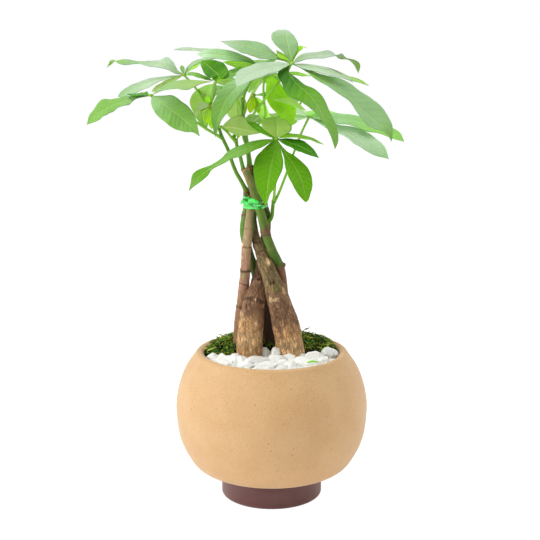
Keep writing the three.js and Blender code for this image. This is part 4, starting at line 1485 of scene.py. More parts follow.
@dataclass
class Tie:
    """The crumpled plastic ribbon that binds the canes."""

    turns: tuple[Turn, ...] = (
        Turn(200.0, 0.13, 3.9, 0.2, 1.7), Turn(203.4, 0.1, 3.4, 0.6, 5.1), Turn(206.2, -0.02, 2.8, 0.3, 9.4),
    )
    cane_radius: float = 4.3 * MM
    around: int = 150
    across: int = 6
    samples: int = 160
    end: tuple[Place, ...] = ((248, 200.5, 12), (244.5, 199.5, 13), (242, 201.5, 12.5), (241, 204, 11))

    def wrap(self, bm: Mesh, turn: Turn, lines: Sequence[Route]) -> None:
        """Wind one turn round the canes.

        Args:
            bm: the mesh to add to.
            turn: the turn.
            lines: the canes' middle lines.
        """
        height = EYE.sight((256, turn.down, 0)).z
        circles = []
        for line in lines:
            spots = (line.at(0.5 + 0.5 * k / self.samples) for k in range(self.samples + 1))
            circles.append(min(spots, key=lambda spot: abs(spot.z - height)))
        middle = sum(circles, Vector()) / len(circles)
        made = bmesh.ops.create_grid(bm, x_segments=self.around, y_segments=self.across, size=0.5)["verts"]
        for vert in made:
            angle = math.tau * (vert.co.x + 0.5)
            up = vert.co.y
            out = level(angle)
            reach = [((c - middle).dot(out), c) for c in circles]
            peak = max(value for value, _ in reach)
            weights = [math.exp((value - peak) / (0.6 * MM)) for value, _ in reach]
            core = sum((c * w for (_, c), w in zip(reach, weights)), Vector()) / sum(weights)
            pucker = noise.noise(Vector((out.x * 2.4, out.y * 2.4, up * 1.6 + turn.seed)))
            pleat = noise.noise(Vector((out.x * 6, out.y * 6, up * 3.2 + turn.seed)))
            point = core + out * (self.cane_radius + (turn.slack + 0.7 * pucker + 0.35 * pleat) * MM)
            lean = turn.tilt * (point.x - middle.x)
            width = turn.tall * (0.82 - 0.45 * out.x + 0.2 * math.sin(angle * 3 + turn.seed)) * MM
            vert.co = (point.x, point.y, height + up * width - lean + 0.5 * pucker * MM)

    def loose_end(self, bm: Mesh) -> None:
        """Lay the loose end beside the turns.

        Args:
            bm: the mesh to add to.
        """
        steps = 14
        cuts = Route(EYE.sights(self.end)).frames(steps, Vector((0, 0, 1)))
        for vert in bmesh.ops.create_grid(bm, x_segments=steps, y_segments=4, size=0.5)["verts"]:
            centre, normal, _ = cuts[round((vert.co.x + 0.5) * steps)]
            wide = between(3.6, 1.4, vert.co.x + 0.5) * MM
            vert.co = centre + normal * vert.co.y * wide + Vector((0, -abs(vert.co.y) * 0.8 * MM, 0))

    def build(self) -> None:
        """Build the turns and the loose end."""
        bm = bmesh.new()
        lines = [cane.line() for cane in CANES.values()]
        for turn in self.turns:
            self.wrap(bm, turn, lines)
        self.loose_end(bm)
        bmesh.ops.remove_doubles(bm, verts=bm.verts, dist=WELD)
        tie = to_piece("tie_ribbon_turns", bm, [Ribbon().material()], ["tie"])
        film = tie.modifiers.new("film", "SOLIDIFY")
        film.thickness = 0.3 * MM
        film.offset = 0.0


class Tone(Enum):
    """The colours that leaflets show; the mist tone is pale green with painted sheen, and the lime tone
    yellow-green with painted backlight glow.
    """

    # Pale green with a painted sheen from the bright surroundings.
    MIST = paint(180, 206, 172)
    SAGE = paint(140, 182, 122)
    LEAF = paint(120, 172, 76)
    RICH = paint(94, 158, 14)
    DEEP = paint(56, 124, 4)
    # Yellow-green with a painted glow of backlight through the leaf.
    LIME = paint(140, 198, 30)
    OLIVE = paint(150, 186, 84)
    ASH = paint(172, 194, 160)
    GOLD = paint(172, 210, 24)


@dataclass(frozen=True)
class Leaflet:
    """One leaflet, from its frond's hub through the places of its rib to its tip.

    Its upper face looks up, leaning by lean degrees towards the viewer, read along the rib, and turn
    degrees to the right. Its edges are the spots where its two margins are seen; without them it is wide mm
    wide, and widest at a peak share of its rib. Its colour runs through the tones, all lit by a factor.
    """

    rib: tuple[Place, ...]
    lean: tuple[float, ...]
    tones: tuple[Tone, ...]
    edges: tuple[tuple[Spot, ...], ...] = ()
    wide: float = 24
    turn: float = 0
    light: float = 1.04
    peak: float = 0.56
    wave: float = 0.02


@dataclass(frozen=True)
class Frond:
    """A stalk with its leaflets round the hub at its end."""

    petiole: tuple[Place, ...]
    hub: Place
    leaflets: dict[str, Leaflet]
    tint: Colour = paint(136, 190, 50)


@dataclass(frozen=True)
class Shoot:
    """A leafy stem with its fronds; thick is its diameter in mm at both ends."""

    stem: tuple[Place, ...]
    thick: tuple[float, float]
    fronds: tuple[Frond, ...]


MIST, SAGE, LEAF, RICH, DEEP, LIME, OLIVE, ASH, GOLD = Tone

# The fronds, shoot by shoot
LEFT_OUTER = Frond(((222, 138, 10), (205, 128, 20), (196, 122, 24), (172, 106, 30)), (150.5, 95.3, 38), {
    "long_left": Leaflet(
        ((136, 98, 40), (120, 102.3, 41), (105, 109, 42.5), (95, 115.5, 44.5), (87, 124.5, 46)), (30,),
        (SAGE, LEAF, LEAF),
        (((138, 96), (124, 96.8), (113, 98.5), (101, 101.2), (94.5, 107.5), (89.3, 116)),
         ((136, 98.8), (127, 105), (117, 108.5), (109, 113), (104, 117), (96, 121))), 28, -20, light=0.97,
        wave=0.035),
    "low_right": Leaflet(
        ((166, 106.5, 46), (180, 117, 50), (192, 127.5, 54), (199.5, 136, 56)), (62,), (SAGE, LEAF, LEAF),
        (((160, 95.8), (172, 95.4), (182, 101.5), (190, 108.5), (196, 118.5), (197.6, 127)),
         ((151.3, 103), (154.5, 112), (162, 119.5), (172, 127.5), (184, 131.5), (193, 132))), 29, 5,
        light=1.15),
    "flat_right": Leaflet(
        ((168, 87, 40), (183, 84, 42), (197, 82.6, 43), (211, 81.6, 44)), (20,), (SAGE, OLIVE),
        (((160, 88.5), (167, 84), (173, 81.5), (183, 80), (194, 80.1), (205, 81)),
         ((162, 90.8), (174, 88.8), (186, 89.4), (194, 87.2), (203, 83.4))), 21, light=0.9),
    "back_left": Leaflet(
        ((139, 93.6, 30), (130.5, 95.8, 12)), (12,), (DEEP,),
        (((143, 92.6), (139, 90.6), (135, 92.4)), ((142, 95.6), (136, 96.2))), 16, light=1.3),
})
LEFT_HIGH = Frond(((209, 106, 12), (204, 101, 11), (200, 95, 9), (193.5, 85.5, 6)), (184, 75, 4), {
    "far_left": Leaflet(
        ((171, 67.5, 1), (157, 64, -3), (140, 62.5, -7), (122, 61.8, -10), (112, 61.6, -11),
         (107, 67.5, -12)), (52, 46, 26, 20, 10, -30), (SAGE, MIST, SAGE, LIME),
        (((177.5, 70), (172.5, 61.5), (166, 56.8), (160, 60), (150, 61), (138, 61.3), (124, 59.6),
          (114, 60.2), (109, 63)),
         ((176, 73.8), (165, 69), (156, 67.2), (148, 66), (138, 63.8), (121, 64), (112.5, 63),
          (109, 65.8))), 20, light=0.88),
    "low_left": Leaflet(
        ((170, 77, 4), (156, 80.3, 5), (142, 85, 6), (130, 90, 7), (118, 96.7, 8)), (24,),
        (SAGE, MIST, SAGE),
        (((166, 76.4), (152, 78.2), (140, 81.5), (128, 87), (121, 91.5)),
         ((167, 78.8), (156, 82.8), (148, 88), (139, 91), (133, 94.3), (125, 96.2))), 22, light=0.92),
    "under_left": Leaflet(
        ((172, 79.7, 10), (162, 85.5, 14), (151.5, 91.5, 20)), (-25,), (OLIVE,),
        (((173, 77.8), (163, 81.8), (155, 86.8)), ((174, 81.4), (166, 86.8), (157, 91))), 16, light=1.15),
    "over_right": Leaflet(
        ((188, 68, 0), (195, 62.3, -3), (206, 59.2, -5), (217, 58, -6)), (20,), (SAGE, MIST),
        (((186.5, 68), (191, 63), (198, 59.6), (208, 57.4)),
         ((189.5, 69), (195, 65), (203, 61.4), (211, 59.6))), 12, light=0.92),
    "back": Leaflet(
        ((188, 70.5, -6), (194, 66.5, -14), (200.5, 63, -24)), (16,), (LIME,),
        (((190, 67.3), (196, 63.6)), ((191, 70), (197, 66.8))), 14, light=1.35),
    "bud_left": Leaflet(((182.9, 70.5, 3), (181.4, 65.3, 1)), (50,), (SAGE, LEAF), wide=4.5, light=1.25),
    "dark_right": Leaflet(
        ((194, 74, 7), (203, 76.8, 10), (213, 80.8, 13)), (25,), (LEAF, RICH),
        (((189, 72.9), (197, 72.9), (205, 76), (210, 78.6)), ((191, 75.4), (198, 77.4), (206, 79.6))), 12),
})
LEFT_CROWN = Frond(((209, 106, 12), (213.5, 97, 0), (215.6, 90, 6)), (215, 83, 16), {
    "dark_up": Leaflet(
        ((219, 76.5, 14), (212, 69, 10), (202, 60.5, 6)), (50,), (RICH, DEEP, RICH),
        (((224, 77), (228.4, 72.5), (226.5, 66.5), (221, 61.8), (211, 59.8)),
         ((212, 79), (206, 75.5), (202.5, 69.5), (200.6, 63.5))), 24),
    "narrow_right": Leaflet(
        ((227, 76, 11), (237, 71, 3), (248, 65.5, -4)), (30,), (LEAF,),
        (((226, 72.5), (233, 68.8), (241, 66)), ((230, 78), (238, 74.8), (245, 70))), 14, light=1.4),
    "under": Leaflet(
        ((222, 82, 19), (231.5, 82.5, 20)), (-20,), (LIME,),
        (((219, 80), (226, 79.5)), ((220, 85), (227, 86))), 13),
    "hanging": Leaflet(
        ((209, 89, 12), (204.5, 99, 6), (202, 112, 2), (206, 131, 0)), (62,), (LEAF, OLIVE, LEAF),
        (((206, 85), (198, 88.8), (192, 95), (189.8, 102), (192.5, 111), (199, 122)),
         ((213, 89), (213, 98), (211, 108), (209, 118), (207.5, 127))), 27, light=1.36),
})
LEFT_YOUNG = Frond(((214, 116, 11),), (209, 106, 13), {
    "young_front": Leaflet(
        ((202, 109, 22), (196, 113, 27), (191.5, 117.5, 32)), (-40,), (ASH, OLIVE),
        (((206, 103), (199, 103.2), (193, 105.6), (190.3, 111)),
         ((206, 114), (202, 118), (196.5, 120.2), (192.8, 119.8))), 15, light=1.25),
    "finger_left": Leaflet(((204, 109, 17), (198, 111.5, 24)), (40,), (GOLD,), wide=3),
    "finger_low": Leaflet(((209.5, 116, 15), (212, 129, 18)), (50,), (GOLD, LIME), wide=6, light=1.8),
    "finger_up": Leaflet(((208, 101, 13), (207.5, 96, 12)), (30,), (LIME,), wide=5, light=2.0),
    "finger_side": Leaflet(((206, 116, 17), (205.5, 124, 20)), (60,), (OLIVE, GOLD), wide=5, light=1.8),
}, paint(160, 176, 40))
MIDDLE_UNDER = Frond(((236, 142, 14), (232, 138, 16), (227, 132, 19)), (221, 126.8, 21), {
    "underside": Leaflet(
        ((233, 127.3, 22), (247, 130, 21.5), (261, 132.6, 20)), (-62,), (OLIVE,),
        (((224, 124.5), (229, 119.8), (236, 116), (242, 115.7), (247.5, 121), (254, 127.8)),
         ((226, 130), (233, 133.8), (241, 135.6), (250, 134.8), (257, 133.8))), 22, light=1.15),
})
MIDDLE_BUDS = Frond(((237, 146, 13),), (236, 140, 14), {
    "bud_right": Leaflet(((238, 137, 15), (239.5, 133, 16)), (30,), (GOLD,), wide=4),
    "bud_left": Leaflet(((234.6, 137, 13), (234, 134, 12)), (30,), (LIME,), wide=4),
})
TOP_LEFT = Frond(((243, 102, 4), (245, 93, 5), (251, 80, 6)), (258, 65, 8), {
    "pale_left": Leaflet(
        ((246, 59.5, 5), (230, 56.5, 3), (213, 54, 1), (197, 54.6, 0)), (54,), (DEEP, SAGE, SAGE, MIST),
        (((251, 59), (244, 55.6), (233, 51.4), (220, 49), (208, 49.3), (200.5, 51.8)),
         ((248, 61.8), (235, 61), (220, 59.2), (208, 57.8), (200, 56))), 22, light=1.2, wave=0.004),
    "thin_left": Leaflet(
        ((236, 53, -10), (205, 49.6, -18), (174, 49.6, -24)), (24,), (MIST,),
        (((210, 48.8), (199, 48.5), (185, 47.2)), ((210, 52.3), (195, 50.6), (182, 50.2))), 14, light=0.84),
    "under_left": Leaflet(
        ((247, 65.5, 14), (236, 64.6, 17), (223, 61.8, 20)), (-30,), (LIME,),
        (((245, 63), (236, 62), (228, 61.2)), ((246, 67.4), (237, 67.4), (229, 65))), 16, light=1.2),
    "hanging": Leaflet(
        ((249, 71, 16), (238, 85, 30), (226, 100, 36), (218.5, 117, 39), (215.7, 137, 40)), (55,),
        (SAGE, SAGE, LEAF, LEAF),
        (((246, 73), (236, 79), (224, 86), (216, 96.5), (212, 107), (211.2, 119), (213.4, 130)),
         ((254, 76), (249, 83.5), (241, 95), (230, 109), (222, 119.5), (218, 129))), 29, -15),
    "back": Leaflet(((262, 61, -12), (268, 63, -34)), (-10,), (LEAF,), light=1.3),
    "back_left": Leaflet(((246, 62, -12), (236, 66, -34)), (-10,), (RICH,), light=1.4),
})
TOP_RIGHT = Frond(
    ((243, 128, 2), (249, 121, 12), (255, 112, 20), (265, 99, 28), (272, 90, 31), (287, 72, 28)),
    (291.5, 63.5, 26), {
    "broad_left": Leaflet(
        ((277, 66, 33), (259, 70.5, 43), (247, 76, 50), (237, 87, 54)), (24,), (MIST,),
        (((284, 62.7), (270, 61.8), (255, 64), (243, 68.5), (236.5, 73.5), (235.3, 80)),
         ((284, 68.2), (272, 73.5), (258, 78), (247, 82.6), (240.5, 85.2))), 29, -10, light=0.86),
    "up_left": Leaflet(
        ((279, 58, 16), (263, 51.5, 9), (245, 45.6, 2), (221, 41.3, -4)), (36,), (LEAF, SAGE, SAGE, MIST),
        (((282, 58.2), (274, 52.2), (267, 46.2), (258, 41.8), (246, 40.8), (232, 40.6)),
         ((280, 60), (266, 59), (254, 56.6), (242, 52.4), (231, 47.3), (225.5, 44))), 25, light=0.88),
    "upright": Leaflet(
        ((289.6, 53, 18), (287.6, 43, 10), (286, 35, -2), (285.4, 29.8, -12)), (62,),
        (LEAF, SAGE, SAGE, MIST),
        (((287, 57), (281, 50), (274.4, 43.3), (271.4, 37), (273.3, 32.2), (278, 30.2)),
         ((293.5, 58), (297, 50), (298, 44), (295.6, 38.3), (292, 34), (288.9, 31))), 27, light=0.88),
    "behind_right": Leaflet(
        ((296, 54, 16), (300.5, 46.5, 8), (306.5, 47.8, 2)), (20,), (LIME,),
        (((297.5, 47), (300.5, 43.9)), ((299.5, 51), (302.5, 48.9))), 10, light=1.5),
    "behind_left": Leaflet(
        ((285, 57, 20), (276.5, 50.3, 8)), (24,), (LIME,),
        (((285, 55), (280.5, 49.2)), ((283.5, 59), (278, 56.5))), 12),
    "high_right": Leaflet(
        ((303, 57.3, 25), (318, 55, 22), (333, 55.3, 21), (346, 58.4, 20), (355, 63, 19), (358.4, 73, 18)),
        (34, 32, 26, 0, -50, -60), (SAGE, MIST, MIST, SAGE, LIME),
        (((297, 57.6), (304.4, 53.4), (320, 51.7), (334.4, 53.3), (345.6, 57.4), (354, 59.6), (359.8, 63.6),
          (360, 69)),
         ((299, 61.6), (308.9, 58.8), (324, 57.9), (338, 57.8), (347, 59.2), (353.3, 63.8), (356, 68.7))),
        15, light=0.78),
    "pale_right": Leaflet(
        ((312, 66.8, 30), (328, 70.7, 33), (342, 76.3, 36), (353, 82.4, 38)), (48,), (MIST,),
        (((302, 63.7), (317.8, 65.6), (328, 68.2), (338, 73.2), (346.7, 77.2)),
         ((304, 68.8), (315, 71.4), (326, 74.7), (338, 77.2), (347, 79.8))), 16, light=0.96, wave=0.004),
    "far_right": Leaflet(
        ((330, 68.5, 14), (350, 76.8, 10), (368.5, 85.5, 6)), (30,), (MIST, MIST, LIME),
        (((340, 72), (350, 76.4), (360, 79.4)), ((338, 76), (350, 80), (361, 83.1))), 14),
    "dark_low": Leaflet(
        ((288.5, 71, 30), (293, 79.5, 37), (300, 87, 42), (307.5, 93.5, 46), (315.6, 103, 51),
         (324.4, 118.3, 56), (332, 136, 60), (335, 149, 62)), (45,), (DEEP, DEEP, RICH, LEAF, LEAF, LEAF),
        (((289.5, 72.4), (297.8, 79.3), (305, 85), (314, 88.6), (321, 95), (328.9, 109.4), (334.5, 122),
          (338, 134), (337.6, 142.5)),
         ((278, 76.5), (281.5, 82), (284.6, 90), (290, 96.8), (300, 101.4), (309, 105.2), (317, 115),
          (325, 125), (331, 136.5))), 30, 25),
    "long_right": Leaflet(
        ((309, 70.6, 30), (324.4, 79.5, 34), (337.8, 87.5, 37.5), (350, 97.4, 40), (362.2, 109.4, 42.5),
         (375, 120.5, 44.5), (385, 129, 46.5), (391.5, 141.3, 48)), (36,),
        (DEEP, LEAF, SAGE, SAGE, SAGE, LEAF),
        (((303.3, 67.6), (317.8, 73.2), (335.6, 77.4), (347, 82), (360, 90.6), (372, 99), (384.4, 110.6),
          (390.5, 121), (392.8, 132)),
         ((305.6, 71), (315, 78.6), (326.7, 85.6), (338, 93), (348.9, 100.6), (356, 111), (364.4, 121.7),
          (373.3, 128.3), (383.3, 131.8), (388.5, 136))), 29, 20),
    # The stalk tint is painted lighter than the plain frond green: painted light on a stalk that sits in
    # shade.
    }, paint(150, 206, 66))
TOP_BRIGHT = Frond(
    ((244, 134, 1), (256, 126, 4), (265, 117, 14), (264, 100, 25), (263.5, 86, 20)), (265, 77, 13), {
    "bright_right": Leaflet(
        ((272, 84, 19), (279, 98, 23), (286, 112, 22.5), (291, 127.5, 20.5)), (46,), (LIME,),
        (((266, 80), (265.8, 92), (268.5, 103), (275, 112), (283, 119.5)),
         ((274, 77.5), (281, 84), (286, 93), (293.5, 104), (296, 113), (294.3, 121))), 25, 20, light=1.55),
    "under_left": Leaflet(((258, 82, 18), (248, 92, 24)), (-30,), (OLIVE, LIME), wide=18, light=1.5),
    "back_low": Leaflet(((256, 90, -2), (245, 110, -16)), (30,), (OLIVE,), wide=18, light=1.6),
    "back_up": Leaflet(((267, 71, 0), (268, 69, -20)), (5,), (LIME,), wide=18),
    "strip_right": Leaflet(
        ((280, 74.4, 10), (296, 73.4, 8), (311, 76, 6)), (12,), (LIME,),
        (((288, 72), (300, 72.5)), ((290, 75), (302, 75.8))), 10, light=1.3),
    # The stalk tint is painted lighter than the plain frond green: painted light on a stalk that sits in
    # shade.
    }, paint(150, 206, 66))
TOP_YOUNG = Frond(((243.4, 114, 3), (250, 99, 11)), (254, 95, 17), {
    "right": Leaflet(
        ((271, 95, 19), (288, 99.8, 21), (306, 110.3, 22)), (28,), (SAGE, OLIVE, OLIVE),
        (((261, 93.4), (270, 91.6), (284, 94.2), (295.6, 100.6)),
         ((262, 95.8), (275.6, 100.6), (288, 104), (299, 108.5))), 17, light=1.85),
    "folded_left": Leaflet(((252, 103, 20), (250, 113, 22)), (40,), (GOLD,), wide=8, light=1.4),
    "folded_right": Leaflet(((256, 104, 20), (259, 113, 22)), (40,), (LIME, GOLD), wide=7, light=1.3),
    "pale_low": Leaflet(
        ((260, 108, 12), (270, 121, 6)), (40,), (OLIVE, OLIVE), wide=17, turn=10, light=2.5),
}, paint(150, 176, 50))
FRONT_LOW = Frond(((273.5, 203, 5), (275, 186, 14), (275.5, 165, 26)), (276.5, 139, 42), {
    "hanging": Leaflet(
        ((275.6, 147, 46), (272.4, 160, 51), (269.4, 173, 55), (267.4, 187, 58), (265.4, 207, 60)), (78,),
        (RICH,),
        (((271, 142), (262, 150.5), (256, 157), (253.6, 167), (253.9, 177), (257, 189), (261.5, 199)),
         ((279.3, 145.5), (281.8, 154), (283.2, 162), (282, 170.5), (278, 179), (274.4, 188), (270, 195),
          (267.3, 203))), 31, -5, light=1.23),
    "low_right": Leaflet(
        ((285, 153, 50), (292, 163.5, 54), (298.4, 174, 58), (303, 185, 60), (305.6, 202.3, 62)), (55,),
        (RICH,),
        (((283.8, 157), (284.5, 165), (288.5, 176.5), (294, 188), (299.8, 197)),
         ((287, 151.2), (295, 156), (304, 164), (310.3, 172), (312.2, 182), (311, 192.5), (308, 200))), 26,
        15, light=1.19),
    "right": Leaflet(
        ((289, 142.4, 50), (300, 146.4, 53), (309.5, 151.4, 56.5), (318.8, 157.8, 60)), (28,), (DEEP,),
        (((283, 138.9), (295, 139.2), (304, 141.5), (311, 147), (316, 153)),
         ((284, 144), (292, 148), (302, 152.6), (312, 155.9))), 19, light=1.24),
    "thin_right": Leaflet(
        ((288, 135.8, 44), (300, 136.8, 42.5), (312, 139.3, 41), (323.6, 144.5, 40)), (10,),
        (RICH, LIME, LIME),
        (((286, 134), (295, 134), (304, 135.4), (314, 138.8)),
         ((285, 137.4), (295, 137.4), (306, 139), (316, 142))), 12, light=1.2),
    "upright": Leaflet(
        ((276.8, 130, 37), (276.3, 116.8, 24)), (60,), (OLIVE,),
        (((271, 135), (264.5, 129.5), (261.2, 123), (264, 119), (269, 117.4)),
         ((282, 136), (289, 133), (291.8, 128.5), (289, 123), (284, 119.3))), 29, light=1.3),
    "dark_left": Leaflet(
        ((265, 132.4, 38.5), (256, 126.6, 33), (247, 122, 28)), (25,), (RICH,),
        (((270, 133.4), (261, 126.4), (253.5, 122.2)), ((270, 137), (262, 133.6), (254, 129.2))), 10,
        light=1.35),
    "long_left": Leaflet(
        ((262, 142.6, 48), (245, 149.2, 54), (230, 156.2, 60), (216, 165.4, 65), (206, 171.5, 68),
         (198, 177.5, 70), (189, 190.8, 72)), (26, 26, 24, 14, 10, 40, 50),
        (RICH, RICH, LEAF, LEAF, RICH, LEAF),
        (((268, 139.2), (252, 141.6), (238, 146), (229, 150.6), (222, 158), (212, 164.4), (202, 168.6),
          (193.5, 173.4), (191, 182)),
         ((266, 144.8), (254, 150.8), (242, 155.5), (232, 158.4), (224, 163.4), (212, 169.3),
          (207.5, 175.5), (201, 181.4), (193, 187.4))), 22, -20, light=0.9),
})
FRONT_RIGHT = Frond(
    ((273.5, 203, 5), (278, 195, 6), (287, 172, 4), (293, 155, 3), (301, 134, 3)), (309, 117, 4), {
    "up_left": Leaflet(((300, 111.5, 6), (288.5, 106.4, 9)), (34,), (ASH,), wide=11, light=1.9),
    "low_left": Leaflet(((298, 117.4, 8), (283.5, 116.2, 13)), (30,), (ASH,), wide=12, light=1.95),
    "far_right": Leaflet(
        ((330, 117, 2), (350, 119, 3.5), (372, 126.4, 5), (390, 134.4, 7), (404, 141.5, 8)), (26,),
        (SAGE, SAGE, LEAF, LEAF),
        (((320, 114.6), (334, 113.4), (349, 114.3), (362, 117.5), (378, 124), (393, 128.3), (400, 132.4)),
         ((324, 120.8), (340, 123.9), (357, 127.2), (368, 131.8), (380, 133.6), (393, 138.4))), 24,
        light=1.4),
    "low_right": Leaflet(
        ((336, 128.2, 14), (349, 132.8, 17), (361, 139.4, 19.5), (374, 147.6, 22), (388.7, 159, 24)), (34,),
        (SAGE, MIST, MIST, SAGE),
        (((332, 123), (346, 126), (358, 128.6), (368, 132.6), (378, 140.8), (385, 147)),
         ((334, 132), (346, 137), (356, 144.8), (368, 152.2), (379, 156.4))), 24, 10, light=1.3),
    "back": Leaflet(((306, 112, -14), (304, 112, -36)), (-20,), (LEAF,), light=1.9),
    "back_right": Leaflet(((322, 114, -12), (338, 119, -30)), (-20,), (LEAF,), turn=-20, light=2.4),
    })
BACK_LEFT_OUTER = Frond(((243, 116, -33), (239, 104, -38)), (234, 92, -42), {
    "left": Leaflet(((220, 90, -50), (204, 100, -58)), (-15,), (LEAF,), turn=30),
    "back_left": Leaflet(((222, 86, -68), (212, 97, -98)), (-30,), (LEAF,), wide=26, turn=30, light=1.4),
    "back": Leaflet(((236, 84, -78), (238, 98, -116)), (-35,), (LEAF,), wide=27),
    "low": Leaflet(((236, 102, -54), (236, 122, -62)), (-60,), (OLIVE,), wide=22, light=1.3),
    "up": Leaflet(((228, 80, -48), (216, 76, -60)), (0,), (LEAF,), wide=20),
})
BACK_LEFT_INNER = Frond(((243, 112, -35), (252, 96, -42)), (261, 80, -48), {
    "back_left": Leaflet(((254, 74, -76), (252, 86, -112)), (-35,), (LEAF,), wide=26, turn=10),
    "back": Leaflet(((268, 74, -80), (272, 86, -118)), (-35,), (LEAF,), wide=28, turn=-10),
    "right": Leaflet(((276, 76, -60), (290, 84, -78)), (-20,), (RICH,), wide=26, turn=-30),
    "up": Leaflet(((260, 68, -54), (258, 60, -70)), (20,), (RICH,), wide=22),
})
BACK_RIGHT_OUTER = Frond(((285, 120, -30), (296, 110, -35)), (303, 99, -40), {
    "back_left": Leaflet(((297, 95, -68), (291, 104, -100)), (-35,), (LEAF,), wide=22, turn=10),
    "back": Leaflet(((307, 99, -70), (311, 107, -104)), (-35,), (LEAF,), wide=18, turn=-10),
    "right": Leaflet(((311, 104, -54), (317, 112, -72)), (-20,), (RICH,), wide=14, turn=-30),
    "up": Leaflet(((302, 94, -46), (300, 91, -60)), (15,), (RICH,), wide=12),
})
BACK_RIGHT_INNER = Frond(((274, 140, -24), (272, 128, -34)), (272, 119, -42), {
    "left": Leaflet(((260, 117, -54), (250, 124, -68)), (-25,), (RICH,), turn=20, light=0.8),
    "back": Leaflet(((272, 114, -72), (272, 126, -102)), (-40,), (OLIVE,), wide=26, light=1.4),
    "right": Leaflet(((284, 117, -56), (292, 125, -72)), (-25,), (RICH,), turn=-20, light=1.4),
})

SHOOTS = {
    "shoot_left": Shoot(
        ((247, 192, -4), (240.6, 180, 1), (236, 172, 4), (232, 162, 6), (228, 150, 8), (222, 137, 10),
         (219, 128, 10), (214, 116, 11), (209, 106, 12)),
        (4.2, 2.6), (LEFT_OUTER, LEFT_HIGH, LEFT_CROWN, LEFT_YOUNG)),
    "shoot_middle": Shoot(
        ((243.6, 170, 9), (240, 156, 12), (237, 146, 13), (236, 139, 14)),
        (4, 3), (MIDDLE_UNDER, MIDDLE_BUDS)),
    "shoot_top": Shoot(
        ((249.6, 168, 0), (248, 152, 0), (246, 143, 0), (244, 137, 1), (243, 117, 3), (243, 98, 4)),
        (4.4, 2.6), (TOP_LEFT, TOP_RIGHT, TOP_BRIGHT, TOP_YOUNG)),
    "shoot_front": Shoot(
        ((268, 223, -3), (271.6, 217, 0), (272.5, 210, 3), (273.5, 201, 6)),
        (4.2, 3.2), (FRONT_LOW, FRONT_RIGHT)),
    "shoot_back_left": Shoot(
        ((255, 196, -12), (251, 168, -20), (246, 135, -28), (243, 114, -34)),
        (4.2, 3), (BACK_LEFT_OUTER, BACK_LEFT_INNER)),
    "shoot_back_right": Shoot(
        ((252, 197, 1), (260, 172, -12), (274, 140, -24), (286, 118, -30)),
        (4.2, 3), (BACK_RIGHT_OUTER, BACK_RIGHT_INNER)),
}


@dataclass(frozen=True)
class Cut:
    """A place on a leaflet's rib, with the directions along it, out of its face and across it."""

    centre: Vector
    along: Vector
    normal: Vector
    across: Vector


